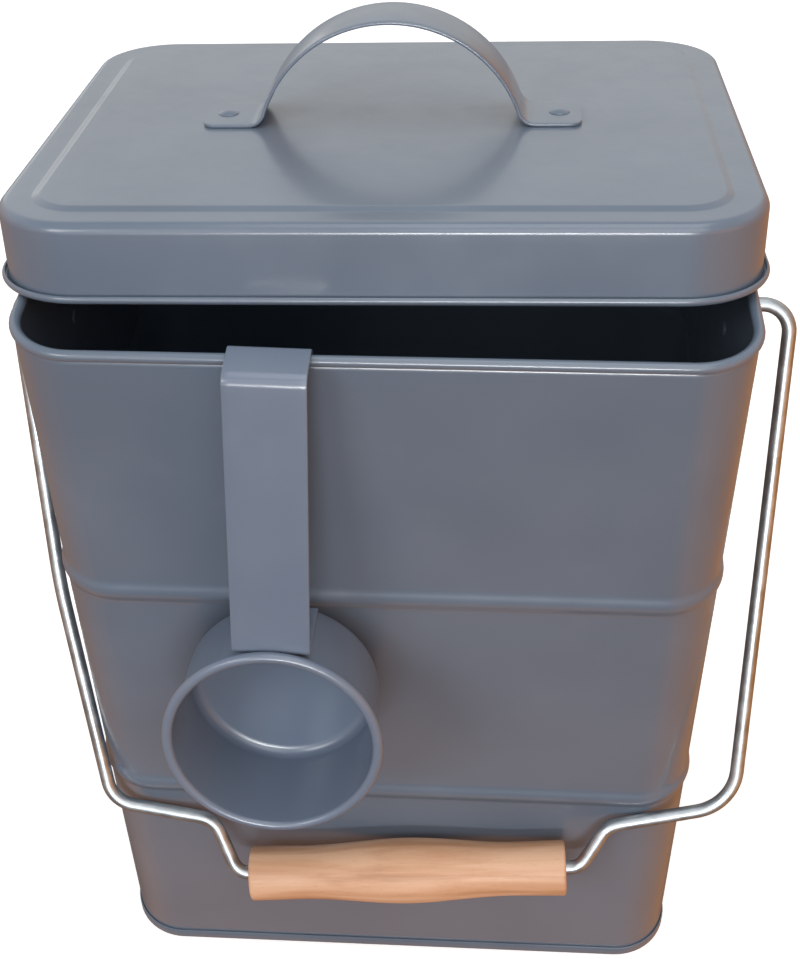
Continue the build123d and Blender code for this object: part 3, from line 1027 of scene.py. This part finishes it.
@dataclass
class Tin:
    """The tin: a wall with two ridges and a rolled rim, its base, and the ears for the bail."""

    kit: Kit
    width: float = 190.0
    depth: float = 152.0
    height: float = 262.0
    corner: float = 18.0
    sheet: float = 0.6
    ridge_heights: tuple[float, float] = (89.5, 177.5)
    ridge_width: float = 9.0
    ridge_proud: float = 0.9
    rim_roll: float = 3.0
    rim_proud: float = 0.9
    neck_radius: float = 2.0
    past_side: float = 50.0
    seam_height: float = 4.0
    seam_radius: float = 0.5
    seam_gap: float = 0.1
    base_raise: float = 3.8
    base_radius: float = 1.2
    base_flange: float = 7.0
    pivot_height: float = 227.5
    ear_sheet: float = 1.0
    ear_length: float = 37.0
    ear_width: float = 16.0
    ear_edge: float = 0.2
    ear_segments: int = 96
    dome_radius: float = 7.0
    dome_height: float = 6.0
    dome_bend: float = 1.8
    dome_foot_bend: float = 1.0
    dome_inner_bend: float = 0.8
    bore_radius: float = 2.25
    rivet_across: float = 12.8
    waviness: float = 0.22
    wave_size: float = 130.0
    wave_seed: int = 3
    foot_fade: float = 40.0
    rim_fade: float = 50.0
    corner_fade: float = 0.25  # of half the flat
    rivet: Rivet = Rivet(1.5, 2.8, 0.9, 1.6)

    def wall_line(self) -> list[Point]:
        """The middle of the wall's sheet, from its foot to the end of the rolled rim.

        Returns:
            Its points, as distances out from the wall's face and heights.
        """
        middle = -self.sheet / 2
        roll = (self.rim_roll - self.sheet) / 2
        rim_middle = self.rim_proud - self.rim_roll / 2
        neck_turn = math.acos((self.neck_radius + rim_middle - middle) / (self.neck_radius + roll))
        neck_height = (self.neck_radius + roll) * math.sin(neck_turn)
        ridge_turn = 2 * math.atan(2 * self.ridge_proud / self.ridge_width)
        ridge_radius = self.ridge_width / (4 * math.sin(ridge_turn))
        neck_turn, ridge_turn = math.degrees(neck_turn), math.degrees(ridge_turn)
        at = self.sheet + self.seam_gap
        line = Centreline((middle, at), 90)
        for height in self.ridge_heights:
            line.run(height - self.ridge_width / 2 - at)
            for turn in (-ridge_turn, 2 * ridge_turn, -ridge_turn):
                line.turn(ridge_radius, turn, 5)
            at = height + self.ridge_width / 2
        line.run(self.height - self.rim_roll / 2 - neck_height - at)
        line.turn(self.neck_radius, neck_turn, 10)
        line.turn(roll, -(180 + neck_turn + self.past_side), 12)
        return line.points

    def wavy(self, points: np.ndarray) -> np.ndarray:
        """Bends the flat of the wall in and out, as thin sheet is, but not at its foot or rim.

        Args:
            points: The wall's points.

        Returns:
            Their new places.
        """
        inner = np.array([self.width / 2 - self.corner, self.depth / 2 - self.corner])
        reach = np.abs(points[:, :2])
        on_side = (reach - inner)[:, 0] > (reach - inner)[:, 1]
        flat = np.clip(1 - reach / inner, 0, 1)
        flat = np.where(on_side, flat[:, 1], flat[:, 0])
        fades = (flat / self.corner_fade, points[:, 2] / self.foot_fade)
        fades += ((self.height - points[:, 2]) / self.rim_fade,)
        share = ripple(points, self.wave_size, self.wave_seed)
        for fade in fades:
            share = share * np.clip(fade, 0, 1)
        out = self.waviness * np.clip(share, -1, 1)[:, None] * np.sign(points[:, :2])
        moved = points.copy()
        moved[:, :2] += np.where(np.stack([on_side, ~on_side], axis=1), out, 0)
        return moved

    def wall(self) -> Piece:
        """Makes the wall.

        Returns:
            The wall.
        """
        section = sheet_outline(self.wall_line(), self.sheet, closed=True)
        box = RoundedBox(self.width, self.depth, self.corner)
        piece = box.sweep("tin_wall", section, True, self.kit)
        close_up(piece)
        vertices = piece.data.vertices
        flat = np.zeros(len(vertices) * 3, np.float32)
        vertices.foreach_get("co", flat)
        points = self.wavy(flat.reshape(-1, 3).astype(float) / MM)
        vertices.foreach_set("co", (points * MM).ravel())
        piece.data.update()
        return piece

    def base(self) -> Piece:
        """Makes the base, whose rim is folded up round the foot of the wall.

        Returns:
            The base.
        """
        half = self.sheet / 2
        outer = self.seam_gap + half
        inner = -self.sheet - self.seam_gap - half
        corners = [(-self.base_flange, self.base_raise), (inner, self.base_raise)]
        corners += [(inner, half), (outer, half), (outer, self.seam_height)]
        radii = [self.base_radius, self.seam_radius, self.seam_radius]
        line = Centreline.through(corners, radii, pitch=12)
        section = sheet_outline(line.points, self.sheet, closed=False)
        box = RoundedBox(self.width, self.depth, self.corner)
        piece = box.sweep("tin_base_pan", section, False, self.kit)
        fill_panel(piece)
        close_up(piece)
        return piece

    def pivot(self, side: int, out: float) -> Matrix:
        """The frame of what is turned about the bail's pivot.

        Args:
            side: -1 for the left and 1 for the right.
            out: The distance of its origin from the tin's middle.

        Returns:
            The frame, whose Z points out from the tin.
        """
        at = (side * out, 0, self.pivot_height)
        return axes((0, side, 0), (0, 0, 1), (side, 0, 0), at)

    def ear(self, side: int) -> Piece:
        """Presses one ear from sheet: a dome with the wire's hole, in a plate with round ends.

        Args:
            side: -1 for the left ear and 1 for the right.

        Returns:
            The ear.
        """
        sheet, top, wall = self.ear_sheet, self.dome_height, self.dome_radius
        bend, foot, inside = self.dome_bend, self.dome_foot_bend, self.dome_inner_bend
        over = [(self.bore_radius, top), (wall - bend, top)]
        over += arc((wall - bend, top - bend), bend, QUARTER - 0.2, 0, 8)
        over += arc((wall + foot, sheet + foot), foot, math.pi, 3 * QUARTER, 6)
        under = [
            (wall - sheet + 0.01, 0.0),
            (wall - sheet, top - sheet - inside),
            (wall - sheet - inside, top - sheet),
            (self.bore_radius, top - sheet),
        ]
        angles = np.linspace(0, 2 * math.pi, self.ear_segments, endpoint=False)
        cos, sin = np.abs(np.cos(angles)), np.abs(np.sin(angles))
        half = self.ear_width / 2
        half_straight = self.ear_length / 2 - half
        straight = half / np.maximum(sin, 1e-9)
        root = np.maximum((half_straight * cos) ** 2 - half_straight**2 + half**2, 0)
        round_end = half_straight * cos + np.sqrt(root)
        rim = np.where(straight * cos > half_straight, round_end, straight)
        last = over[-1][0]
        plate = [(last + (rim - last) * share, sheet) for share in (0.25, 0.5, 0.75)]
        plate += [(rim - self.ear_edge, sheet), (rim, sheet - self.ear_edge), (rim, 0.0)]
        rows = [
            np.stack([r * np.cos(angles), r * np.sin(angles), np.full(len(angles), h)], axis=1)
            for r, h in [*over, *plate, *under]
        ]
        name = "tin_ear_left" if side < 0 else "tin_ear_right"
        piece = skin(name, np.array(rows), looped=True, wraps=True)
        return settle(piece, self.pivot(side, self.width / 2), self.kit.enamel)

    def build(self) -> None:
        """Builds the tin."""
        pieces = {"tin_body": self.wall(), "tin_base": self.base()}
        pieces |= {"ear_left": self.ear(-1), "ear_right": self.ear(1)}
        for node, piece in pieces.items():
            register(piece, Body.TIN, node)
        out = self.width / 2 + self.ear_sheet
        seats = [
            (Vector((side * out, across, self.pivot_height)), Vector((side, 0, 0)))
            for side in (-1, 1)
            for across in (-self.rivet_across, self.rivet_across)
        ]
        rivets = self.rivet.set_on("tin_ear_rivets", seats, self.kit, self.kit.enamel)
        register(rivets, Body.TIN, "ear_rivets_left", "ear_rivets_right")


# ---------------------------------------------------------------- lid


@dataclass
class Lid:
    """The lid, which lies ajar: a raised panel, a skirt with a rolled hem, and a strap handle."""

    tin: Tin
    fit: float = 2.9
    height: float = 21.1
    bend: float = 2.8
    hem_roll: float = 2.4
    panel_inset: float = 10.0
    step: float = 0.8
    step_run: float = 2.2
    step_radius: float = 2.0
    panel_margin: float = 4.0
    rest_gap: float = 0.3
    tilt: float = 9.8
    roll: float = 1.0
    aside: float = -1.75
    strap: float = 1.0
    strap_edge: float = 0.35
    handle_width: float = 21.0
    handle_span: float = 108.0
    handle_rise: float = 29.2
    arch_radius: float = 38.5
    handle_bend: float = 5.0
    foot_corner: float = 3.5
    crown: float = 0.5
    crown_rise: float = 12.0
    rivet_inset: float = 6.2
    rivet: Rivet = Rivet(1.8, 3.0, 1.0, 1.6)

    def __post_init__(self) -> None:
        """Works out the lid's size and its place, from where it touches the rim."""
        tin = self.tin
        half_sheet = tin.sheet / 2
        grown = tin.rim_proud + self.fit + tin.sheet
        self.box = RoundedBox(
            tin.width + 2 * grown, tin.depth + 2 * grown, tin.corner + grown, corner_steps=18
        )
        self.panel_top = self.height + self.step
        self.hem_radius = self.hem_roll / 2 - half_sheet
        tilt, roll = math.radians(self.tilt), math.radians(self.roll)
        corner = self.box.corner
        hem_corner = corner + self.hem_radius - half_sheet
        rim_middle = tin.rim_proud - tin.rim_roll / 2
        rim_height = tin.height - tin.rim_roll / 2
        side_rim = tin.width / 2 + rim_middle
        past_bend = side_rim + self.aside - (self.box.width / 2 - corner)
        reach = self.box.depth / 2 - corner + math.sqrt(hem_corner**2 - past_bend**2)
        level = (
            rim_height
            + self.rest_gap
            + (tin.rim_roll + self.hem_roll) / 2
            + (side_rim + self.aside) * math.sin(roll)
            - (reach * math.sin(tilt) + self.hem_roll / 2 * math.cos(tilt)) * math.cos(roll)
        )
        below = self.panel_top - tin.sheet - self.rest_gap - tin.rim_roll / 2
        rim_end = tin.width / 2 - tin.corner + self.aside
        rim_above = rim_height - level + rim_end * math.sin(roll)
        back = tin.depth / 2 + rim_middle - (below - rim_above * math.cos(tilt)) / math.sin(tilt)
        right = Vector((math.cos(roll), 0, math.sin(roll)))
        lean = math.cos(tilt)
        up = Vector((-math.sin(roll) * lean, math.sin(tilt), math.cos(roll) * lean))
        self.frame = axes(right, up.cross(right), up, (self.aside, back, level))

    def shell(self) -> Piece:
        """Presses the lid's shell.

        Returns:
            The shell.
        """
        sheet = self.tin.sheet
        step_inner = self.panel_inset + self.step_run / 2
        raised, margin = self.panel_top - sheet / 2, self.height - sheet / 2
        corners = [(-step_inner - self.panel_margin, raised), (-step_inner, raised)]
        corners += [(-step_inner + self.step_run, margin), (-sheet / 2, margin)]
        corners += [(-sheet / 2, self.hem_roll / 2)]
        radii = [self.step_radius, self.step_radius, self.bend - sheet / 2]
        line = Centreline.through(corners, radii, step=2.5)
        line.turn(self.hem_radius, 180 + self.tin.past_side, 12)
        section = sheet_outline(line.points, sheet, closed=False)
        piece = self.box.sweep("lid_pressing", section, False, self.tin.kit)
        fill_panel(piece)
        return settle(piece, self.frame, self.tin.kit.enamel)

    def handle(self) -> Piece:
        """Bends the strap handle.

        Returns:
            The handle.
        """
        foot_middle = self.panel_top + self.strap / 2
        above = self.handle_bend + self.arch_radius - self.handle_rise + self.strap / 2
        across = math.sqrt((self.arch_radius + self.handle_bend) ** 2 - above**2)
        turn = math.degrees(math.atan2(across, above))
        run, fine = self.handle_span / 2 - across, 0.5
        line = Centreline((-self.handle_span / 2, foot_middle), 0)
        line.run(run, fine)
        line.turn(self.handle_bend, turn, 6)
        line.turn(self.arch_radius, -2 * turn, 3)
        line.turn(self.handle_bend, turn, 6)
        line.run(run, fine)
        along, height = np.array(line.points).T
        from_end = np.clip(self.handle_span / 2 - np.abs(along), 0.0, self.foot_corner)
        short = self.foot_corner - from_end
        inset = self.foot_corner - np.sqrt(np.maximum(self.foot_corner**2 - short**2, 0))
        widths = self.handle_width - 2 * inset
        crowns = self.crown * np.clip((height - foot_middle) / self.crown_rise, 0, 1)
        piece = bent_strip(
            "lid_handle_strap", line.points, widths, self.strap, self.strap_edge, crowns
        )
        return settle(piece, self.frame, self.tin.kit.enamel)

    def build(self) -> None:
        """Builds the lid."""
        register(self.shell(), Body.LID, "lid_shell")
        register(self.handle(), Body.LID, "lid_handle")
        across = self.handle_span / 2 - self.rivet_inset
        seats = [
            (self.frame @ Vector((x, 0, self.panel_top + self.strap)), self.frame.col[2].xyz)
            for x in (-across, across)
        ]
        kit = self.tin.kit
        rivets = self.rivet.set_on("lid_handle_rivets", seats, kit, kit.enamel)
        register(rivets, Body.LID, "lid_rivet_left", "lid_rivet_right")


# ---------------------------------------------------------------- scoop


@dataclass
class Scoop:
    """The scoop: a round cup on a strap, which hooks over the front rim."""

    tin: Tin
    mouth_radius: float = 30.6
    depth: float = 31.5
    taper: float = 0.5
    floor_radius: float = 3.6
    roll: float = 3.0
    tilt: float = 12.3
    turn: float = 1.4
    across: float = -26.8
    strap: float = 1.0
    strap_edge: float = 0.3
    strap_width: float = 21.0
    strap_length: float = 81.0
    hook_drop: float = 14.0
    hook_back_bend: float = 2.0
    hook_front_bend: float = 3.2
    foot_bend: float = 1.6
    foot_length: float = 22.0
    rivet_spacing: float = 9.0
    rivet_inset: float = 5.0
    rest_gap: float = 0.3
    seam_gap: float = 0.1
    segments: int = 128
    # A lighter copy of the tin's enamel. Part of its lightness is painted light, making up for
    # light that the cup's inside, its ring and the strap lack.
    enamel: SatinEnamel = SatinEnamel(
        name="satin_enamel_on_scoop", light="#707d8f", dark="#6a778a", coat_roughness=0.22
    )
    rivet: Rivet = Rivet(1.5, 2.8, 0.9, 2.2)

    def __post_init__(self) -> None:
        """Works out where the scoop hangs."""
        tin = self.tin
        lean, turn = math.radians(self.tilt), math.radians(self.turn)
        half = self.strap / 2
        self.roll_radius = (self.roll - tin.sheet) / 2
        self.wall = self.mouth_radius - self.roll / 2 - self.roll_radius
        back_wall = self.wall - self.taper
        mouth_ahead = self.roll + self.seam_gap + half
        below = half + self.seam_gap + self.wall + tin.sheet / 2
        edge_down = self.strap_length + below - (back_wall - self.floor_radius)
        edge_behind = self.depth - tin.sheet / 2 - self.floor_radius - mouth_ahead
        ahead = edge_behind * math.cos(lean) - edge_down * math.sin(lean)
        ahead += self.floor_radius + tin.sheet / 2 + tin.ridge_proud + self.rest_gap
        edge_drop = self.strap_width / 2 * math.sin(turn)
        hook_top = tin.height + self.rest_gap + half * math.cos(turn) + edge_drop
        self.hook_front = -tin.depth / 2 - ahead
        self.hook_back = -tin.depth / 2 + tin.rim_roll - tin.rim_proud + self.rest_gap + half
        back = Vector((0, 1, 0))
        above = Vector((math.sin(turn), 0, math.cos(turn)))
        self.right = Vector((math.cos(turn), 0, -math.sin(turn)))
        self.up = above * math.cos(lean) + back * math.sin(lean)
        self.out = above * math.sin(lean) - back * math.cos(lean)
        self.hook = axes(back, self.right, above, (self.across, 0, hook_top))
        front = self.hook.translation + back * self.hook_front
        self.strap_foot = front - self.up * self.strap_length
        self.cup_centre = self.strap_foot - self.up * below + self.out * mouth_ahead

    def strip(self, finish: Material) -> Piece:
        """Bends the hook, the strap and the foot from one strip.

        Args:
            finish: The material.

        Returns:
            The strip.
        """
        ends = (self.strap_foot, self.strap_foot - self.out * self.foot_length)
        corners = [(self.hook_back, -self.hook_drop), (self.hook_back, 0), (self.hook_front, 0)]
        corners += [tuple((self.hook.inverted() @ end).xz) for end in ends]
        radii = [self.hook_back_bend, self.hook_front_bend, self.foot_bend]
        line = Centreline.through(corners, radii, step=3.0).points
        widths = np.full(len(line), self.strap_width)
        name, flat = "scoop_hook_strap", np.zeros(len(line))
        piece = bent_strip(name, line, widths, self.strap, self.strap_edge, flat)
        return settle(piece, self.hook, finish)

    def cup(self, finish: Material) -> Piece:
        """Draws the cup, with a rounded floor edge and a rolled mouth.

        Args:
            finish: The material.

        Returns:
            The cup.
        """
        sheet = self.tin.sheet
        floor = sheet / 2 - self.depth
        corners = [(0.0, floor), (self.wall - self.taper, floor), (self.wall, -self.roll / 2)]
        line = Centreline.through(corners, [self.floor_radius], step=2.0)
        line.turn(self.roll_radius, -(180 + self.tin.past_side), 10)
        outline = sheet_outline(line.points, sheet, closed=False)
        outline[0, 0] = outline[-1, 0] = 0.0
        piece = revolve("scoop_cup_drawing", outline, self.segments)
        return settle(piece, axes(self.up, self.right, self.out, self.cup_centre), finish)

    def build(self) -> None:
        """Builds the scoop."""
        finish = self.enamel.build()
        register(self.strip(finish), Body.SCOOP, "scoop_strap")
        register(self.cup(finish), Body.SCOOP, "scoop_cup")
        top = self.strap_foot + self.up * self.strap / 2
        reach = self.foot_length - self.rivet_inset
        seats = [(top - self.out * far, self.up) for far in (reach, reach - self.rivet_spacing)]
        rivets = self.rivet.set_on("scoop_foot_rivets", seats, self.tin.kit, finish)
        register(rivets, Body.SCOOP, "scoop_rivets")


# ---------------------------------------------------------------- bail and grip


@dataclass
class Bail:
    """The wire bail, swung forward until it lies on the front wall, and its wooden grip."""

    tin: Tin
    wire_radius: float = 2.15
    wire_sides: int = 28
    wire_step: float = 1.2
    bend_steps: int = 14
    arm_top_out: float = 20.4
    left_knee: Point = (10.2, 92.0)
    left_foot: Point = (-4.1, 165.0)
    right_foot: Point = (13.3, 158.5)
    left_rise: Point = (7.5, 18.9)
    right_rise: Point = (8.1, 14.8)
    past_grip: float = 4.66
    grip_across: float = 5.45
    grip_down: float = 185.55
    grip_slope: float = 3.55
    elbow_bend: float = 8.0
    knee_bend: float = 200.0
    left_foot_bend: float = 9.5
    right_foot_bend: float = 15.0
    shoulder_bend: float = 8.0
    grip_bend: float = 6.0
    head_radius: float = 3.8
    head_thickness: float = 1.6
    head_edge: float = 0.4
    rest_gap: float = 0.3
    bore_gap: float = 0.1
    bore_edge: float = 0.4
    grip_length: float = 102.0
    end_radius: float = 8.8
    waist_radius: float = 8.5
    waist_at: float = 34.0
    middle_radius: float = 10.4
    edge: float = 1.0

    def __post_init__(self) -> None:
        """Works out the bow's corners, as distances across and down, and how far it hangs."""
        tin = self.tin
        half, slope = tin.width / 2, math.radians(self.grip_slope)
        reach = self.grip_length / 2 + self.past_grip
        across, fall = reach * math.cos(slope), reach * math.sin(slope)
        left = (self.grip_across - across, self.grip_down + fall)
        right = (self.grip_across + across, self.grip_down - fall)
        foot = (half + self.right_foot[0], self.right_foot[1])
        shoulder = (right[0] + self.right_rise[0], right[1] - self.right_rise[1])
        self.bow: list[tuple[Point, float]] = [
            ((-half - self.arm_top_out, 0.0), self.elbow_bend),
            ((-half - self.left_knee[0], self.left_knee[1]), self.knee_bend),
            ((-half - self.left_foot[0], self.left_foot[1]), self.left_foot_bend),
            ((left[0] - self.left_rise[0], left[1] - self.left_rise[1]), self.shoulder_bend),
            (left, self.grip_bend),
            (right, self.grip_bend),
            (shoulder, self.shoulder_bend),
            (foot, self.right_foot_bend),
            ((half + self.arm_top_out, 0.0), self.elbow_bend),
        ]
        past = (foot[0] - (half - tin.corner)) / (foot[0] - shoulder[0])
        wire_down = foot[1] + past * (shoulder[1] - foot[1])
        grip_down = self.grip_down - self.grip_length / 2 * math.sin(slope)
        clear = tin.depth / 2 + self.rest_gap
        steepest = max(
            (clear + self.wire_radius) / wire_down, (clear + self.middle_radius) / grip_down
        )
        self.forward = math.asin(steepest)
        face = half + tin.dome_height - tin.ear_sheet - self.rest_gap
        self.wire_end = face - self.head_thickness

    def on_bow(self, across: float, down: float) -> Vector:
        """Where a point of the bow's own plane lies."""
        ahead, height = down * math.sin(self.forward), down * math.cos(self.forward)
        return Vector((across, -ahead, self.tin.pivot_height - height))

    def wire(self) -> Piece:
        """Bends the wire and upsets its heads.

        Returns:
            The wire.
        """
        finish = ZincWire().build()
        end, edge, thick = self.wire_end, self.head_edge, self.head_thickness
        corners = [((-end, 0.0), 0.0), *self.bow, ((end, 0.0), 0.0)]
        route = np.array([tuple(self.on_bow(*corner)) for corner, _ in corners])
        piece = new_outline("bail_wire_bow", route, False)
        bend = piece.data.attributes.new("bend_radius", "FLOAT", "POINT")
        bend.data.foreach_set("value", [radius * MM for _, radius in corners])
        inputs = {
            "Wire Radius": self.wire_radius * MM,
            "Bend Steps": self.bend_steps,
            "Sides": self.wire_sides,
            "Run Step": self.wire_step * MM,
            "Finish": finish,
        }
        grow(piece, self.tin.kit.bent_wire, inputs)
        work = bmesh.new()
        work.from_mesh(piece.data)
        rim = self.head_radius
        profile = [(0.0, 0.0), (rim - edge, 0.0), (rim, edge)]
        profile += [(rim, thick - edge), (rim - edge, thick), (0.0, thick)]
        for side in (-1, 1):
            head = settle(revolve("wire_head", profile, 32), self.tin.pivot(side, end), finish)
            work.from_mesh(head.data)
            discard(head)
        work.to_mesh(piece.data)
        work.free()
        smooth(piece)
        return piece

    def grip_frame(self) -> Matrix:
        """The grip's place, with its length along X.

        Returns:
            The frame.
        """
        slope = math.radians(self.grip_slope)
        down = self.on_bow(0.0, 1.0) - self.on_bow(0.0, 0.0)
        along = Vector((1, 0, 0)) * math.cos(slope) - down * math.sin(slope)
        out = down.cross(along).normalized()
        at = self.on_bow(self.grip_across, self.grip_down)
        return axes(along, out.cross(along), out, at)

    def grip(self) -> Piece:
        """Turns the grip on a lathe and bores it for the wire.

        Returns:
            The grip.
        """
        half, end, edge, waist = self.grip_length / 2, self.end_radius, self.edge, self.waist_at
        bore, lip, steep = self.wire_radius + self.bore_gap, self.bore_edge, 5 * math.pi / 12
        profile = [(bore + lip, -half), (end - edge, -half)]
        profile += arc((end - edge, edge - half), edge, -steep, 0, 6)
        for x in np.linspace(1 + edge - half, half - edge - 1, 90):
            if abs(x) < waist:
                share = 1 - abs(x) / waist
                rise = (self.middle_radius - self.waist_radius) * share * share * (3 - 2 * share)
            else:
                rise = (end - self.waist_radius) * (abs(x) - waist) / (half - waist)
            profile.append((self.waist_radius + rise, x))
        profile += arc((end - edge, half - edge), edge, 0, steep, 6)
        profile += [(end - edge, half), (bore + lip, half), (bore, half - lip)]
        profile += [(bore, lip - half), (bore + lip, -half)]
        piece = revolve("grip_turning", profile, 96)
        frame = self.grip_frame()
        lay_down = axes((0, 1, 0), (0, 0, 1), (1, 0, 0), (0, 0, 0))
        axis = frame.copy()
        axis.translation *= MM
        return settle(piece, frame @ lay_down, TurnedBeech(axis).build())

    def build(self) -> None:
        """Builds the bail and its grip."""
        register(self.wire(), Body.BAIL, "bail_wire", slot=Slot.GALVANISED_WIRE)
        register(self.grip(), Body.GRIP, "grip", slot=Slot.PALE_WOOD)


# ---------------------------------------------------------------- stage


@dataclass(frozen=True)
class Softbox:
    """A rectangular studio light. Its place and aim are in metres."""

    name: str
    at: tuple[float, float, float]
    aim: tuple[float, float, float]
    size: tuple[float, float]
    power: float
    colour: str = "#ffffff"
    glint: bool = False

    def build(self) -> None:
        """Hangs the light. One that is only there to glint leaves the matt shading alone."""
        light = bpy.data.lights.new(self.name, "AREA")
        light.shape = "RECTANGLE"
        light.size, light.size_y = self.size
        light.energy = self.power
        light.color = linear(self.colour)[:3]
        lamp = new_object(self.name, light)
        lamp.visible_diffuse = not self.glint
        lamp.location = self.at
        way = Vector(self.aim) - Vector(self.at)
        lamp.rotation_euler = way.to_track_quat("-Z", "Y").to_euler()


# The colours round the studio, each from straight down at 0 to straight up at 1.
BEFORE = {0.0: "#2f2a28", 0.04: "#8a5c3c", 0.075: "#f4a868", 0.12: "#9a7866", 0.17: "#5f5f66"}
BEFORE |= {0.27: "#525f70", 0.36: "#6d7988", 0.46: "#828b95", 0.55: "#a9afb6", 0.75: "#bfc3c8"}
BEHIND = {0.0: "#2f2a28", 0.1: "#7b6250", 0.2: "#86705f", 0.3: "#7d828b", 0.4: "#a4a9b0"}
BEHIND |= {0.46: "#d6d6d3", 0.56: "#ebeae6", 0.64: "#ffffff", 0.78: "#e6e7e9"}
OVERHEAD = {0.92: "#a0a4a9", 1.0: "#7c8086"}

SOFTBOXES = (
    Softbox("key_front_left", (-1.3, -1.9, 1.7), (0, 0, 0.15), (0.9, 0.9), 18.0),
    Softbox("front_above", (0.5, -1.7, 2.0), (0, 0, 0.15), (1.4, 1.4), 12.0),
    Softbox("ceiling", (0.2, 0.0, 2.2), (0, 0, 0.15), (1.6, 1.2), 12.0),
    Softbox("low_front", (0.0, -2.0, 0.6), (0, 0, 0.22), (0.7, 0.16), 10.0),
    Softbox("glint_strip", (0.2, -2.0, 0.69), (0, 0, 0.22), (0.74, 0.2), 12.0, glint=True),
    Softbox("left_back", (-1.5, 3.0, 0.35), (0, 0, 0.25), (0.8, 0.5), 1.0),
    Softbox("warm_right", (0.8, -0.5, 0.3), (0.05, 0, 0.08), (0.6, 0.4), 0.8, "#e08c40"),
    Softbox("warm_left", (-0.8, -0.5, 0.3), (-0.05, 0, 0.05), (0.6, 0.4), 0.2, "#e0a068"),
)


@dataclass
class Stage:
    """The floor, the studio lights, and the camera at the photograph's viewing angle."""

    floor_size: float = 12000.0
    backdrop: str = "#f6f7f7"
    warm_card: str = "#d08a48"
    warm_left: float = 0.5
    camera_at: tuple[float, float, float] = (25.8, -375.5, 487.5)
    yaw: float = -0.077
    pitch: float = 0.736
    roll: float = 0.026
    focal_pixels: float = 1531.0
    centre: Point = (392.45, 500.3)
    sensor: float = 36.0
    near: float = 0.01

    def camera(self) -> None:
        """Sets the camera up."""
        yaw, pitch, roll = self.yaw, self.pitch, self.roll
        flat = math.cos(pitch)
        ahead = Vector((math.sin(yaw) * flat, math.cos(yaw) * flat, -math.sin(pitch)))
        level = Vector((math.cos(yaw), -math.sin(yaw), 0))
        down = ahead.cross(level)
        right = level * math.cos(roll) + down * math.sin(roll)
        below = down * math.cos(roll) - level * math.sin(roll)
        data = bpy.data.cameras.new("camera")
        data.sensor_width = self.sensor
        data.lens = self.sensor * self.focal_pixels / IMAGE_HEIGHT
        data.shift_x = (IMAGE_WIDTH / 2 - self.centre[0]) / IMAGE_HEIGHT
        data.shift_y = (self.centre[1] - IMAGE_HEIGHT / 2) / IMAGE_HEIGHT
        data.clip_start = self.near
        camera = new_object("camera", data)
        camera.matrix_world = axes(right, -below, -ahead, Vector(self.camera_at) * MM)
        bpy.context.scene.camera = camera

    def surroundings(self) -> None:
        """Colours the studio, which lights the object and shows in its gloss.

        It is bright behind and dimmer in front, brown low down, and has a warm card at each side.
        The camera itself sees a plain pale backdrop.
        """
        world = bpy.data.worlds.new("studio")
        world.use_nodes = True
        world.node_tree.nodes.clear()
        node = partial(add, world.node_tree)
        way = node("ShaderNodeTexCoord")["Generated"]
        x, y, z = node("ShaderNodeSeparateXYZ", {"Vector": way})
        height = node(MAP_RANGE, {"Value": z, "From Min": -1.0})["Result"]
        before, behind = (
            node(RAMP, {"Fac": height}, row | OVERHEAD)[0] for row in (BEFORE, BEHIND)
        )
        back, right, left, low = (
            node(
                MAP_RANGE,
                {"Value": value, "From Min": start, "From Max": end, "To Max": most},
                interpolation_type="SMOOTHSTEP",
            )["Result"]
            for value, start, end, most in (
                (y, -0.25, 0.35, 1.0),
                (x, 0.26, 0.5, 1.0),
                (x, -0.4, -0.8, self.warm_left),
                (z, 0.6, 0.1, 1.0),
            )
        )
        beside = node(MATH, {0: right, 1: left})[0]
        share = node(MATH, {0: beside, 1: low}, operation="MULTIPLY")[0]
        seen = node("ShaderNodeLightPath")["Is Camera Ray"]
        colour = node(MIX, {0: back, 6: before, 7: behind}, data_type="RGBA")[2]
        for part, over in ((share, self.warm_card), (seen, self.backdrop)):
            colour = node(MIX, {0: part, 6: colour, 7: linear(over)}, data_type="RGBA")[2]
        sky = node("ShaderNodeBackground", {"Color": colour, "Strength": 1.0})
        node("ShaderNodeOutputWorld", {"Surface": sky[0]})
        bpy.context.scene.world = world

    def build(self) -> None:
        """Builds the stage."""
        half = self.floor_size / 2
        corners = [(-half, -half, 0), (half, -half, 0), (half, half, 0), (-half, half, 0)]
        floor = new_piece("floor", np.array(corners), [(0, 1, 2, 3)])
        floor.data.materials.append(OpalAcrylic().build())
        floor.visible_diffuse = False
        floor.visible_glossy = False
        for softbox in SOFTBOXES:
            softbox.build()
        self.surroundings()
        bpy.context.scene.view_settings.view_transform = "Standard"
        self.camera()


def main() -> None:
    """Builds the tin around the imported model."""
    logging.basicConfig(level=logging.INFO, format="%(name)s: %(message)s")
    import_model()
    tin = Tin(Kit())
    for part in (tin, Lid(tin), Scoop(tin), Bail(tin), Stage()):
        part.build()


if __name__ == "__main__":
    main()
